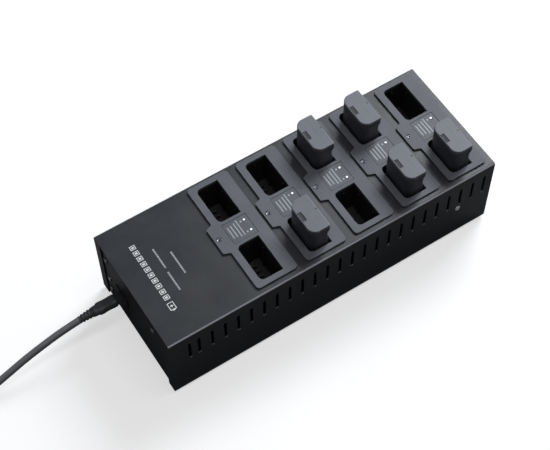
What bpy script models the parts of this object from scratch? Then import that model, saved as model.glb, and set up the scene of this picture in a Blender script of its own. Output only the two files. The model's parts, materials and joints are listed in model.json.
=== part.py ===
"""Charging station with ten bays for two-cell battery packs, five packs in place and a mains lead.

Units are metres and +Z is up. X runs along the case with the lead at -X, and the slotted front is at -Y.
The origin is the middle of the case's footprint, at the height that the feet stand on.
"""

import math

import bmesh
import bpy
import numpy as np
from mathutils import Matrix, Vector

# ---- Clearances ----
GAP = 0.0003  # between touching pieces
HOLE_SLACK = 0.0003  # all round a shaft or a rod in its hole

# ---- Fineness of curved faces ----
HOLE_SIDES = 10
CORNER_STEPS = 3
SHARP_ANGLE = math.radians(35)

# ---- Battery packs ----
PACK_THICKNESS = 0.0205  # along X
PACK_WIDTH = 0.0405  # along Y
PACK_HEIGHT = 0.0710
PACK_ROUND = 0.0085  # radius of the two corners towards -X
PACK_EDGE = 0.0008  # rounding along the cap's rim and the case's foot
CAP_HEIGHT = 0.0042
# The +X side steps back below the pack's head: each length down from the top, and the step there.
PACK_STEPS = ((0.0082, 0.0), (0.0120, 0.0025), (0.0212, 0.0025), (0.0219, 0.0012))
THUMB_MARK = (0.0044, 0.0106, 0.0008)  # size of the recess in the cap
THUMB_MARK_MIDDLE = (-0.0074, 0.0012)
PIN_DIMPLE = (0.0086, 0.0020)
PIN_DIMPLE_RADIUS = 0.00065

# ---- Cradle modules: one plate with two pockets each ----
MODULE_COUNT = 5
POCKET_SLACK_X = 0.00195  # each side of the pack
POCKET_SLACK_Y = 0.0015
POCKET_DEPTH = 0.0400  # below the deck
POCKET_WALL = 0.0016
POCKET_ROUND = 0.0046  # corners towards -X
POCKET_GAP = 0.0310  # between the two pockets of a plate
RIB_WIDTH = 0.0016
RIB_CLEARANCE = 0.0005  # from a rib to the pack
RIB_DROP = 0.0060  # from the deck to a rib's top
RIB_SPREAD = 0.0120  # each side of the pocket's middle
PLATE_RISE = 0.0022  # above the deck
PLATE_MARGIN_LEFT = 0.0073
PLATE_MARGIN_RIGHT = 0.0132
PLATE_MARGIN_END = 0.00575
PLATE_ROUND = 0.0036
TONGUE_REACH = 0.0070
TONGUE_HALF_WIDTH = 0.0150
TONGUE_FLARE = 0.0035
MODULE_SPACE = 0.0029  # from a plate to the next tongue
LABEL_SIZE = (0.0268, 0.0245)
LABEL_X = 0.0012
LABEL_RECESS = 0.0011
LABEL_THICKNESS = 0.0006
LABEL_ROUND = 0.0018
LIGHT_X = 0.0098
LIGHT_SPREAD = 0.0065
LIGHT_RADIUS = 0.0014
LIGHT_DROP = 0.0340  # length of a light pipe's rod below the deck
LIGHT_BRIDGE = (0.0024, 0.0020)
LIGHT_BRIDGE_DROP = 0.0048  # from the deck to the bridge's top
MODULE_SCREW_X = -0.0218
MODULE_SCREW_HEAD = (0.0025, 0.0010)

# ---- Case ----
CASE_LENGTH = 0.3700
CASE_HEIGHT = 0.0920  # from the cover's lower edge to its deck
SHEET = 0.0012
BEND_RADIUS = 0.0022
DECK_MARGIN = 0.00525  # from a plate's end to the case's side
PATTERN_SHIFT = 0.0010  # the modules stand this far behind the middle
LAST_BAY_MARGIN = 0.0316  # from the last pockets' middle to the case's +X end
FLANGE_WIDTH = 0.0110
CORNER_RELIEF = 0.0022
BASE_LIFT = 0.0005  # the base's underside above the cover's lower edge
FOOT_HEIGHT = 0.0040  # the cover's lower edge above the floor
FOOT_RADIUS = 0.0080
FOOT_TREAD = (0.0068, 0.0078)  # radius on the floor, and where the rounded edge ends
FOOT_EDGE = 0.0010
FOOT_END_MARGIN = 0.0420
FOOT_SIDE_MARGIN = 0.0092

# ---- Vent slots along both long sides ----
VENT_SIZE = (0.0030, 0.0280)
VENT_TOP_MARGIN = 0.0140  # from the deck to the slots' upper ends
VENT_PITCH = 0.01426
VENT_END_MARGIN = 0.0107  # from the last slot to the case's +X end
VENT_START_MARGIN = 0.0314  # least length from the case's -X end to the evenly spaced slots
VENT_FIRST_MARGIN = 0.0212  # one more slot stands nearer the -X end
VENT_CORNER = 0.00105

# ---- Screws ----
SCREW_RADIUS = 0.0015
SCREW_HEAD = (0.0030, 0.0012)
SCREW_LENGTH = 0.0060
SCREW_SIDES = 12
HEAD_SHOULDER = 0.5  # height of a head's straight side, as a share of the head
HEAD_TOP = 0.8  # radius of a head's flat top, as a share of the head
RECESS_SHARES = (0.6, 0.14, 0.58)  # depth by height, then half width and reach by radius
SIDE_SCREW_END_MARGIN = 0.0404
SIDE_SCREW_DROP = 0.0040  # from the slots' lower ends to the screw's middle
TAB_WIDTH = 0.0140
TAB_ABOVE_SCREW = 0.0070
END_SCREWS = ((0.0520, 0.0170), (0.0520, 0.0360), (0.0530, 0.0700), (-0.0360, 0.0700))

# ---- Mains inlet and lead ----
INLET_Y = 0.0270
INLET_RISE = 0.0395  # above the cover's lower edge
INLET_BODY = (0.0190, 0.0185, 0.0130)
INLET_RIM = (0.0009, 0.0225, 0.0165)
INLET_RIM_ROUND = 0.0015
NOSE_ROUNDNESS = 0.8
NOSE_SIZE = (0.0112, 0.0072)  # along Y and Z
NOSE_GRIP = 0.0085  # length that sits in the inlet
NOSE_SHOWN = 0.0068
NOSE_SLACK = 0.0004
PIN_RADIUS = 0.0011
PIN_SPREAD = 0.0027
CONNECTOR_SIZE = (0.0200, 0.0125, 0.0096)
CONNECTOR_TAPER = 0.0060
CONNECTOR_EDGE = 0.0008
TAPER_SHAPE = (0.94, 0.95)  # the small end's height by its width, and its roundness
BOOT_LENGTH = 0.0140
BOOT_RADIUS = 0.0050
BOOT_RINGS = 3
BOOT_GROOVE = 0.0009
BOOT_LIP = 0.0004  # the boot's thin end outside the cord
ROUND_SIDES = 12
CORD_DIAMETER = 0.0070
BOOT_DROOP = math.radians(9)

# The cord's route from the boot, down to the floor and up to the coil. Chosen by hand.
ROUTE = (
    (-0.2380, 0.0270, 0.0412),
    (-0.2520, 0.0270, 0.0386),
    (-0.2700, 0.0268, 0.0336),
    (-0.2920, 0.0262, 0.0268),
    (-0.3140, 0.0250, 0.0189),
    (-0.3350, 0.0238, 0.0117),
    (-0.3530, 0.0228, 0.0066),
    (-0.3690, 0.0223, 0.0044),
    (-0.3838, 0.0221, 0.0039),
)
# From the coil to the plug.
TAIL = (
    (-0.4042, -0.0852, 0.0098),
    (-0.3960, -0.0880, 0.0088),
    (-0.3870, -0.0900, 0.0090),
    (-0.3800, -0.0908, 0.0102),
)
COIL_CENTRE = (-0.4150, -0.0270)
COIL_RADII = (0.0236, 0.0548)
COIL_HEIGHT = 0.0146
COIL_SIDES = 28
TIE_SIZE = (0.0100, 0.0011)  # width along the turns, and thickness
TIE_TURN = math.radians(205)  # its place round the coil
PLUG_SIZE = (0.0300, 0.0250, 0.0190)
PLUG_COLLAR = (0.0090, 0.0052)
PLUG_NECK = (0.0040, 0.80, 0.86)  # length past the collar, and its share of the width and height
PLUG_SHOULDER = 0.0100  # length past the collar where the body is full
PLUG_ROUNDS = (0.0050, 0.0040, 0.0030)
PLUG_FACE_EDGE = 0.0010
PLUG_BLADE = (0.0160, 0.0015, 0.0063)
PLUG_BLADE_SPREAD = 0.00635

# ---- Electronics ----
BOARD_THICKNESS = 0.0016
BOARD_DROP = 0.0015  # below the pockets
BOARD_SIDE_MARGIN = 0.0060
BLADE_SIZE = (0.0034, 0.0008)
BLADE_RISE = 0.0030  # above a pocket's floor
BLADE_X = 0.0030
BLADE_STEPS = (0.0020, 0.0080, 0.0140)
BLADE_SLACK = 0.0006
PACK_SLOT_MARGIN = 0.0014
PACK_SLOT_HEIGHT = 0.0045
CHIP_SIZE = (0.0120, 0.0080, 0.0018)
CHIP_MIDDLE = (-0.0010, 0.0240)  # Y is each side of the board's middle
POWER_BOARD_RISE = 0.0080
POWER_MARGIN = 0.0090
LEG_INSET = 0.0050
LEG_RADIUS = 0.0025
TRANSFORMER_SHARES = (0.45, 0.50)  # its start and its length along the board
TRANSFORMER_Y = (-0.0300, -0.0020)
TRANSFORMER_HEIGHT = 0.0260
CAN_RADIUS = 0.0085
CAN_HEIGHT = 0.0280
CAN_Y = (0.0420, 0.0200)
RIBBON_THICKNESS = 0.0009
RIBBON_WIDTH = 0.0120
RIBBON_RISE = 0.0020
RIBBON_Y = -0.0350
RIBBON_START = 0.0120  # from the power board's +X end to the ribbon's first riser
RIBBON_RISER_X = -0.0090  # from a board's middle
HEAT_SINK = (0.0120, 0.0500, 0.0260)
HEAT_SINK_CORNER = (0.0040, 0.0120)  # from the board's -X end and its front edge
FIN_COUNT = 6
FIN_DEPTH = 0.75  # as a share of the heat sink's thickness

# Which pockets hold a pack: the module's number, and +1 for the back pocket or -1 for the front one.
PACK_PLACES = ((2, -1), (3, 1), (4, 1), (4, -1), (5, -1))

# ---- Sizes worked out from the ones above ----
POCKET_X = PACK_THICKNESS + 2 * POCKET_SLACK_X
POCKET_Y = PACK_WIDTH + 2 * POCKET_SLACK_Y
POCKET_OFFSET = (POCKET_GAP + POCKET_Y) / 2
PLATE_LEFT = -POCKET_X / 2 - PLATE_MARGIN_LEFT
PLATE_RIGHT = POCKET_X / 2 + PLATE_MARGIN_RIGHT
PLATE_HALF = POCKET_OFFSET + POCKET_Y / 2 + PLATE_MARGIN_END
MODULE_PITCH = PLATE_RIGHT - PLATE_LEFT + TONGUE_REACH + MODULE_SPACE
CASE_WIDTH = 2 * (PLATE_HALF + DECK_MARGIN)
DECK_Z = FOOT_HEIGHT + CASE_HEIGHT
HALF_LENGTH = CASE_LENGTH / 2
HALF_WIDTH = CASE_WIDTH / 2
LAST_BAY_X = HALF_LENGTH - LAST_BAY_MARGIN
FIRST_BAY_X = LAST_BAY_X - (MODULE_COUNT - 1) * MODULE_PITCH
PANEL_FACE = HALF_LENGTH - SHEET - GAP
SIDE_SCREW_X = HALF_LENGTH - SIDE_SCREW_END_MARGIN
SIDE_SCREW_Z = DECK_Z - VENT_TOP_MARGIN - VENT_SIZE[1] - SIDE_SCREW_DROP
BASE_Z = FOOT_HEIGHT + BASE_LIFT
BASE_TOP = BASE_Z + SHEET
POCKET_FLOOR = -POCKET_DEPTH
POCKET_UNDERSIDE = POCKET_FLOOR - POCKET_WALL
BOARD_TOP = POCKET_UNDERSIDE - BOARD_DROP
INLET_Z = FOOT_HEIGHT + INLET_RISE
CONNECTOR_START = -PANEL_FACE - NOSE_SHOWN
CONNECTOR_END = CONNECTOR_START - CONNECTOR_SIZE[0] - CONNECTOR_TAPER


# ---- Shapes ----
def clear_scene():
    for obj in list(bpy.data.objects):
        bpy.data.objects.remove(obj, do_unlink=True)


def finish_material(name, colour, roughness, metallic=0.0):
    material = bpy.data.materials.new(name)
    material.use_nodes = True
    shader = material.node_tree.nodes["Principled BSDF"]
    shader.inputs["Base Color"].default_value = (*colour, 1.0)
    shader.inputs["Roughness"].default_value = roughness
    shader.inputs["Metallic"].default_value = metallic
    return material


def solid(name, points, faces):
    """An object from points and faces, with its faces turned outwards."""
    mesh = bpy.data.meshes.new(name)
    work = bmesh.new()
    verts = [work.verts.new(point) for point in points]
    for face in faces:
        work.faces.new([verts[i] for i in face])
    bmesh.ops.recalc_face_normals(work, faces=work.faces[:])
    work.to_mesh(mesh)
    work.free()
    obj = bpy.data.objects.new(name, mesh)
    bpy.context.scene.collection.objects.link(obj)
    return obj


def loft(name, rings):
    """A closed solid through rings of points that match one to one, with flat ends."""
    count = len(rings[0])
    points = [point for ring in rings for point in ring]
    faces = []
    for level in range(len(rings) - 1):
        low, high = level * count, (level + 1) * count
        for i in range(count):
            j = (i + 1) % count
            faces.append((low + i, low + j, high + j, high + i))
    faces.append(tuple(reversed(range(count))))
    faces.append(tuple(range((len(rings) - 1) * count, len(rings) * count)))
    return solid(name, points, faces)


def level(outline, z):
    return [(x, y, z) for x, y in outline]


def prism(name, outline, low, high, axis="Z"):
    """An outline carried along an axis: (x, y) along Z, (y, z) along X or (z, x) along Y."""
    place = {
        "X": lambda a, b, c: (c, a, b),
        "Y": lambda a, b, c: (b, c, a),
        "Z": lambda a, b, c: (a, b, c),
    }[axis]
    return loft(name, [[place(a, b, c) for a, b in outline] for c in (low, high)])


def box(name, low, high):
    return prism(name, rectangle(low[0], low[1], high[0], high[1]), low[2], high[2])


def rectangle(x0, y0, x1, y1):
    return [(x0, y0), (x1, y0), (x1, y1), (x0, y1)]


def arc(centre, radius, start, end, steps):
    """Points on an arc, with angles in degrees."""
    angles = np.radians(np.linspace(start, end, steps + 1))
    return [(centre[0] + radius * math.cos(a), centre[1] + radius * math.sin(a)) for a in angles]


def rounded(x0, y0, x1, y1, radii, steps=4):
    """A rectangle with a radius for each corner, from the lower left one counter-clockwise."""
    corners = (
        (x0, y0, 1, 1, 180),
        (x1, y0, -1, 1, 270),
        (x1, y1, -1, -1, 0),
        (x0, y1, 1, -1, 90),
    )
    points = []
    for (x, y, to_x, to_y, start), radius in zip(corners, radii):
        if radius == 0:
            points.append((x, y))
        else:
            centre = (x + to_x * radius, y + to_y * radius)
            points += arc(centre, radius, start, start + 90, steps)
    return points


def circle(centre, radius, sides):
    return arc(centre, radius, 0, 360 - 360 / sides, sides - 1)


def turned(name, profile, sides=16):
    """A profile of (radius, z) points from the axis back to the axis, turned about Z."""
    rings = [level(circle((0, 0), radius, sides), z) for radius, z in profile if radius > 0]
    return loft(name, rings)


def combine(target, tool, operation):
    """Join the tool's solid on to the target, or cut it out, and keep the result as a mesh."""
    modifier = target.modifiers.new(operation.lower(), "BOOLEAN")
    modifier.operation = operation
    modifier.object = tool
    modifier.solver = "EXACT"
    bpy.context.view_layer.update()
    depsgraph = bpy.context.evaluated_depsgraph_get()
    result = bpy.data.meshes.new_from_object(target.evaluated_get(depsgraph))
    target.modifiers.remove(modifier)
    old = target.data
    target.data = result
    result.name = target.name
    bpy.data.meshes.remove(old)
    bpy.data.objects.remove(tool, do_unlink=True)
    return target


def join_on(target, *tools):
    for tool in tools:
        combine(target, tool, "UNION")
    return target


def cut_out(target, *tools):
    for tool in tools:
        combine(target, tool, "DIFFERENCE")
    return target


def gather(name, pieces):
    """Several solids that don't touch, as one cutter."""
    work = bmesh.new()
    for piece in pieces:
        work.from_mesh(piece.data)
        bpy.data.objects.remove(piece, do_unlink=True)
    mesh = bpy.data.meshes.new(name)
    work.to_mesh(mesh)
    work.free()
    obj = bpy.data.objects.new(name, mesh)
    bpy.context.scene.collection.objects.link(obj)
    return obj


def place(obj, name, location, material, turn=None):
    """Give a finished piece its name, its material and its place."""
    obj.name = name
    obj.data.name = name
    obj.location = location
    if turn:
        obj.rotation_euler = turn
    obj.data.materials.clear()
    obj.data.materials.append(material)
    obj.data.shade_smooth()
    obj.data.set_sharp_from_angle(angle=SHARP_ANGLE)
    return obj


def copies(master, names, locations, material, turn=None):
    """One object for each place, all sharing the master's mesh."""
    place(master, names[0], locations[0], material, turn)
    for name, location in zip(names[1:], locations[1:]):
        obj = bpy.data.objects.new(name, master.data)
        bpy.context.scene.collection.objects.link(obj)
        obj.location = location
        if turn:
            obj.rotation_euler = turn


# ---- Places ----
def module_places():
    """The middle of each module's pockets, at the deck's height."""
    return [
        Vector((FIRST_BAY_X + i * MODULE_PITCH, PATTERN_SHIFT, DECK_Z)) for i in range(MODULE_COUNT)
    ]


def module_names(word):
    return [f"{word}_{i + 1}" for i in range(MODULE_COUNT)]


def vent_places():
    """Evenly spaced slots from the +X end, and one more near the -X end."""
    last = HALF_LENGTH - VENT_END_MARGIN
    count = int((last + HALF_LENGTH - VENT_START_MARGIN + VENT_PITCH / 50) / VENT_PITCH) + 1
    even = [last - i * VENT_PITCH for i in range(count)]
    first = -HALF_LENGTH + VENT_FIRST_MARGIN
    return [x for x in even if x > first + 2 * VENT_SIZE[0]] + [first]


# ---- Case ----
def cover_cutters():
    """Everything that goes through the deck, and everything that goes through the long sides."""
    deck, sides = [], []
    reach = POCKET_WALL + HOLE_SLACK
    for middle in module_places():
        for side in (-1, 1):
            y = middle.y + side * POCKET_OFFSET
            outline = rounded(
                middle.x - POCKET_X / 2 - reach,
                y - POCKET_Y / 2 - reach,
                middle.x + POCKET_X / 2 + reach,
                y + POCKET_Y / 2 + reach,
                (POCKET_ROUND + reach, 0, 0, POCKET_ROUND + reach),
                CORNER_STEPS,
            )
            deck.append(prism("pocket_hole", outline, DECK_Z - 2 * SHEET, DECK_Z + SHEET))
            spot = (middle.x + LIGHT_X, middle.y + side * LIGHT_SPREAD)
            rod = circle(spot, LIGHT_RADIUS + 2 * HOLE_SLACK, HOLE_SIDES)
            deck.append(prism("rod_hole", rod, DECK_Z - 2 * SHEET, DECK_Z + SHEET))
        spot = (middle.x + MODULE_SCREW_X, middle.y)
        shank = circle(spot, SCREW_RADIUS + HOLE_SLACK, HOLE_SIDES)
        deck.append(prism("shank_hole", shank, DECK_Z - 2 * SHEET, DECK_Z + SHEET))
    through = HALF_WIDTH + SHEET
    top = DECK_Z - VENT_TOP_MARGIN
    half = VENT_SIZE[0] / 2
    for x in vent_places():
        slot = rounded(top - VENT_SIZE[1], x - half, top, x + half, (VENT_CORNER,) * 4, 1)
        sides.append(prism("vent", slot, -through, through, "Y"))
    shank = circle((SIDE_SCREW_Z, SIDE_SCREW_X), SCREW_RADIUS + HOLE_SLACK, HOLE_SIDES)
    sides.append(prism("side_hole", shank, -through, through, "Y"))
    return gather("deck_cutters", deck), gather("side_cutters", sides)


def make_cover(material):
    """Folded sheet: the deck, the two long sides and a narrow flange round each end's corners."""
    w, low = HALF_WIDTH, FOOT_HEIGHT
    shoulder = DECK_Z - BEND_RADIUS
    outline = (
        [(-w, low), (w, low)]
        + arc((w - BEND_RADIUS, shoulder), BEND_RADIUS, 0, 90, 4)
        + arc((-w + BEND_RADIUS, shoulder), BEND_RADIUS, 90, 180, 4)
    )
    cover = prism("cover", outline, -HALF_LENGTH, HALF_LENGTH, "X")
    x, y = HALF_LENGTH - SHEET, w - SHEET
    end, mouth = HALF_LENGTH + SHEET, w - FLANGE_WIDTH
    inside = [(end, -mouth), (end, mouth), (x, mouth), (x, y), (-x, y), (-x, mouth)]
    inside += [(-a, -b) for a, b in inside]
    cut_out(cover, prism("inside", inside, low - SHEET, DECK_Z - SHEET))
    reliefs = []
    for end_x in (-HALF_LENGTH, HALF_LENGTH):
        for side in (-1, 1):
            at = side * (w - BEND_RADIUS - CORNER_RELIEF / 2)
            size = Vector((2 * SHEET, CORNER_RELIEF / 2, CORNER_RELIEF / 2))
            centre = Vector((end_x, at, DECK_Z - SHEET - CORNER_RELIEF))
            reliefs.append(box("relief", centre - size, centre + size))
    cut_out(cover, gather("reliefs", reliefs), *cover_cutters())
    place(cover, "cover", (0, 0, 0), material)


def make_chassis(material):
    """Folded tray: base, two end panels and a tab for each side screw."""
    outer, inner = PANEL_FACE, PANEL_FACE - SHEET
    half = HALF_WIDTH - SHEET - GAP
    top = DECK_Z - SHEET - GAP
    profile = [
        (BASE_Z, -outer),
        (BASE_Z, outer),
        (top, outer),
        (top, inner),
        (BASE_TOP, inner),
        (BASE_TOP, -inner),
        (top, -inner),
        (top, -outer),
    ]
    chassis = prism("chassis", profile[::-1], -half, half, "Y")
    x = SIDE_SCREW_X
    tab_top = SIDE_SCREW_Z + TAB_ABOVE_SCREW
    holes = []
    for side in (-1, 1):
        ys = sorted((side * half, side * (half - SHEET)))
        low = (x - TAB_WIDTH / 2, ys[0], BASE_TOP - SHEET / 2)
        join_on(chassis, box("tab", low, (x + TAB_WIDTH / 2, ys[1], tab_top)))
        shank = circle((SIDE_SCREW_Z, x), SCREW_RADIUS + HOLE_SLACK, HOLE_SIDES)
        holes.append(prism("tab_hole", shank, ys[0] - SHEET, ys[1] + SHEET, "Y"))
    for y, rise in END_SCREWS:
        shank = circle((y, FOOT_HEIGHT + rise), SCREW_RADIUS + HOLE_SLACK, HOLE_SIDES)
        holes.append(prism("end_hole", shank, -outer - SHEET, -inner + SHEET, "X"))
    width, height = INLET_BODY[1] / 2 + HOLE_SLACK, INLET_BODY[2] / 2 + HOLE_SLACK
    window = rectangle(INLET_Y - width, INLET_Z - height, INLET_Y + width, INLET_Z + height)
    holes.append(prism("inlet_window", window, -outer - SHEET, -inner + SHEET, "X"))
    cut_out(chassis, gather("chassis_holes", holes))
    place(chassis, "chassis", (0, 0, 0), material)


def make_feet(material):
    """Four round feet under the base."""
    tread, edge = FOOT_TREAD
    foot = turned("foot", [(tread, 0), (edge, FOOT_EDGE), (FOOT_RADIUS, BASE_Z - GAP)])
    x = HALF_LENGTH - FOOT_END_MARGIN
    y = HALF_WIDTH - FOOT_SIDE_MARGIN
    corners = {
        "foot_front_left": (-x, -y, 0),
        "foot_front_right": (x, -y, 0),
        "foot_back_left": (-x, y, 0),
        "foot_back_right": (x, y, 0),
    }
    copies(foot, list(corners), list(corners.values()), material)


# ---- Screws ----
def screw(name, head, length):
    """A screw along Z with its head's underside at z = 0 and a cross recess."""
    radius, height = head
    profile = [
        (SCREW_RADIUS, -length),
        (SCREW_RADIUS, 0),
        (radius, 0),
        (radius, height * HEAD_SHOULDER),
        (radius * HEAD_TOP, height),
    ]
    made = turned(name, profile, SCREW_SIDES)
    depth_share, half_share, reach_share = RECESS_SHARES
    depth, half, reach = height * depth_share, radius * half_share, radius * reach_share
    arms = [(reach, half), (half, half), (half, reach), (-half, reach), (-half, half), (-reach, half)]
    cross = arms + [(-a, -b) for a, b in arms]
    return cut_out(made, prism("cross", cross, height - depth, height + depth))


def make_screws(material):
    middles = module_places()
    top = PLATE_RISE - MODULE_SCREW_HEAD[1] - GAP
    spots = [m + Vector((MODULE_SCREW_X, 0, top)) for m in middles]
    copies(
        screw("module_screw", MODULE_SCREW_HEAD, SCREW_LENGTH),
        module_names("module_screw"),
        spots,
        material,
    )
    quarter = math.radians(90)
    front = (SIDE_SCREW_X, -HALF_WIDTH - GAP, SIDE_SCREW_Z)
    place(screw("s", SCREW_HEAD, SCREW_LENGTH), "side_screw_front", front, material, (quarter, 0, 0))
    back = (SIDE_SCREW_X, HALF_WIDTH + GAP, SIDE_SCREW_Z)
    place(screw("s", SCREW_HEAD, SCREW_LENGTH), "side_screw_back", back, material, (-quarter, 0, 0))
    names = [f"end_screw_{i + 1}" for i in range(len(END_SCREWS))]
    low_head = (SCREW_HEAD[0], SHEET - GAP)
    ends = [(-PANEL_FACE - GAP, y, FOOT_HEIGHT + rise) for y, rise in END_SCREWS]
    copies(screw("e", low_head, SCREW_LENGTH), names, ends, material, (0, -quarter, 0))


# ---- Cradle modules ----
def plate_outline():
    """The plate with its tongue towards -X, whose two sides flare into the plate."""
    r, half = PLATE_ROUND, PLATE_HALF
    body = rounded(PLATE_LEFT, -half, PLATE_RIGHT, half, (r, r, r, r), CORNER_STEPS)
    steps = np.linspace(0, 1, 5)
    ease = steps * steps * (3 - 2 * steps)
    upper = [
        (PLATE_LEFT - TONGUE_REACH * e, TONGUE_HALF_WIDTH + TONGUE_FLARE * (1 - s))
        for s, e in zip(steps, ease)
    ]
    return body + upper + [(x, -y) for x, y in reversed(upper)]


def pocket_outline(y, grow=0.0):
    """A pocket's plan, rounded towards -X and square towards +X."""
    radius = POCKET_ROUND + grow
    return rounded(
        -POCKET_X / 2 - grow,
        y - POCKET_Y / 2 - grow,
        POCKET_X / 2 + grow,
        y + POCKET_Y / 2 + grow,
        (radius, 0, 0, radius),
        CORNER_STEPS,
    )


def ribbed_outline(y):
    """A pocket's plan with guide ribs standing in from its walls towards the pack."""
    x, h, r = POCKET_X / 2, POCKET_Y / 2, POCKET_ROUND
    in_x = PACK_THICKNESS / 2 + RIB_CLEARANCE
    in_y = PACK_WIDTH / 2 + RIB_CLEARANCE
    w = RIB_WIDTH / 2
    front = [(-w, -h), (-w, -in_y), (w, -in_y), (w, -h)]
    right = []
    for at in (-RIB_SPREAD, RIB_SPREAD):
        right += [(x, at - w), (in_x, at - w), (in_x, at + w), (x, at + w)]
    back = [(-a, -b) for a, b in front]
    left = [(-a, -b) for a, b in right]
    plan = arc((-x + r, -h + r), r, 180, 270, CORNER_STEPS) + front + [(x, -h)] + right + [(x, h)]
    plan += back + arc((-x + r, h - r), r, 90, 180, CORNER_STEPS) + left
    return [(a, b + y) for a, b in plan]


def blade_spots(side):
    """Where a pocket's contact blades stand, in the module's plan."""
    return [(BLADE_X, side * POCKET_OFFSET + step) for step in BLADE_STEPS]


def make_modules(material):
    plate = prism("plate", plate_outline(), GAP, PLATE_RISE)
    cutters = []
    for side in (-1, 1):
        y = side * POCKET_OFFSET
        outer = pocket_outline(y, POCKET_WALL)
        join_on(plate, prism("pocket", outer, POCKET_UNDERSIDE, PLATE_RISE / 2))
        cutters.append(prism("mouth", pocket_outline(y), -RIB_DROP, PLATE_RISE + SHEET))
    cut_out(plate, gather("mouths", cutters))
    lower = [
        prism("well", ribbed_outline(side * POCKET_OFFSET), POCKET_FLOOR, -RIB_DROP + GAP)
        for side in (-1, 1)
    ]
    cut_out(plate, gather("wells", lower))
    half_x, half_y = LABEL_SIZE[0] / 2, LABEL_SIZE[1] / 2
    r = LABEL_ROUND
    recess = rounded(LABEL_X - half_x, -half_y, LABEL_X + half_x, half_y, (r, 0, 0, r), 2)
    cut_out(plate, prism("recess", recess, PLATE_RISE - LABEL_RECESS, PLATE_RISE + SHEET))
    holes = []
    for side in (-1, 1):
        rod = circle((LIGHT_X, side * LIGHT_SPREAD), LIGHT_RADIUS + HOLE_SLACK, HOLE_SIDES)
        holes.append(prism("rod_hole", rod, -SHEET, PLATE_RISE))
        for x, y in blade_spots(side):
            a, b = BLADE_SIZE[0] / 2 + BLADE_SLACK, BLADE_SIZE[1] / 2 + BLADE_SLACK
            slot = rectangle(x - a, y - b, x + a, y + b)
            holes.append(prism("blade_slot", slot, POCKET_UNDERSIDE - SHEET, POCKET_FLOOR + SHEET))
    radius = MODULE_SCREW_HEAD[0] + HOLE_SLACK
    head = circle((MODULE_SCREW_X, 0), radius, SCREW_SIDES)
    seat = PLATE_RISE - MODULE_SCREW_HEAD[1] - 2 * GAP
    holes.append(prism("head_seat", head, seat, PLATE_RISE + SHEET))
    cut_out(plate, gather("holes", holes))
    shank = circle((MODULE_SCREW_X, 0), SCREW_RADIUS + HOLE_SLACK, HOLE_SIDES)
    cut_out(plate, prism("shank_hole", shank, -SHEET, PLATE_RISE))
    copies(plate, module_names("cradle_module"), module_places(), material)


def make_labels(material):
    """The legend plate between a module's pockets, with a hole for each light."""
    half_x, half_y = LABEL_SIZE[0] / 2 - GAP, LABEL_SIZE[1] / 2 - GAP
    r = LABEL_ROUND
    outline = rounded(LABEL_X - half_x, -half_y, LABEL_X + half_x, half_y, (r, 0, 0, r), 2)
    low = PLATE_RISE - LABEL_RECESS + GAP
    label = prism("label", outline, low, low + LABEL_THICKNESS)
    holes = []
    for side in (-1, 1):
        rod = circle((LIGHT_X, side * LIGHT_SPREAD), LIGHT_RADIUS + HOLE_SLACK, HOLE_SIDES)
        holes.append(prism("rod_hole", rod, 0, 2 * low))
    cut_out(label, gather("light_holes", holes))
    copies(label, module_names("legend_plate"), module_places(), material)


def make_lights(material):
    """Two clear rods joined under the deck, which carry the lamps' light up to the legend plate."""
    top = PLATE_RISE - LABEL_RECESS + GAP + LABEL_THICKNESS + GAP
    half, height = LIGHT_BRIDGE[0] / 2, LIGHT_BRIDGE[1]
    low = -LIGHT_BRIDGE_DROP - height
    reach = LIGHT_SPREAD + LIGHT_RADIUS / 2
    pipe = box("pipe", (LIGHT_X - half, -reach, low), (LIGHT_X + half, reach, low + height))
    for side in (-1, 1):
        outline = circle((LIGHT_X, side * LIGHT_SPREAD), LIGHT_RADIUS, HOLE_SIDES)
        join_on(pipe, prism("rod", outline, -LIGHT_DROP, top))
    copies(pipe, module_names("light_pipe"), module_places(), material)


def make_contact_boards(material):
    """A circuit board under each module, with blades that stand up through the pockets' floors."""
    left, right = -POCKET_X / 2 - POCKET_WALL, POCKET_X / 2 + POCKET_WALL
    half = HALF_WIDTH - abs(PATTERN_SHIFT) - BOARD_SIDE_MARGIN
    low = BOARD_TOP - BOARD_THICKNESS
    board = box("board", (left, -half, low), (right, half, BOARD_TOP))
    inside = BOARD_THICKNESS / 2
    chip_x, chip_y = CHIP_MIDDLE
    long, wide, thick = CHIP_SIZE
    for side in (-1, 1):
        for x, y in blade_spots(side):
            a, b = BLADE_SIZE[0] / 2, BLADE_SIZE[1] / 2
            foot, tip = BOARD_TOP - inside, POCKET_FLOOR + BLADE_RISE
            join_on(board, box("blade", (x - a, y - b, foot), (x + a, y + b, tip)))
        middle = side * chip_y
        under = (chip_x - long / 2, middle - wide / 2, low - thick)
        join_on(board, box("chip", under, (chip_x + long / 2, middle + wide / 2, low + inside)))
    copies(board, module_names("contact_board"), module_places(), material)


# ---- Battery packs ----
def pack_outline(inset=0.0, step=0.0):
    """A pack's plan: two well rounded corners towards -X and two nearly square ones towards +X."""
    x, y, r = PACK_THICKNESS / 2 - inset, PACK_WIDTH / 2 - inset, PACK_ROUND - inset
    small = max(PACK_EDGE - inset, PACK_EDGE / 4)
    return rounded(-x, -y, x - step, y, (r, small, small, r))


def pack_names():
    return [(number, "back" if side > 0 else "front") for number, side in PACK_PLACES]


def pack_places():
    """The middle of each pack's underside."""
    middles = module_places()
    lift = POCKET_FLOOR + GAP
    return [middles[n - 1] + Vector((0, s * POCKET_OFFSET, lift)) for n, s in PACK_PLACES]


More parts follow.
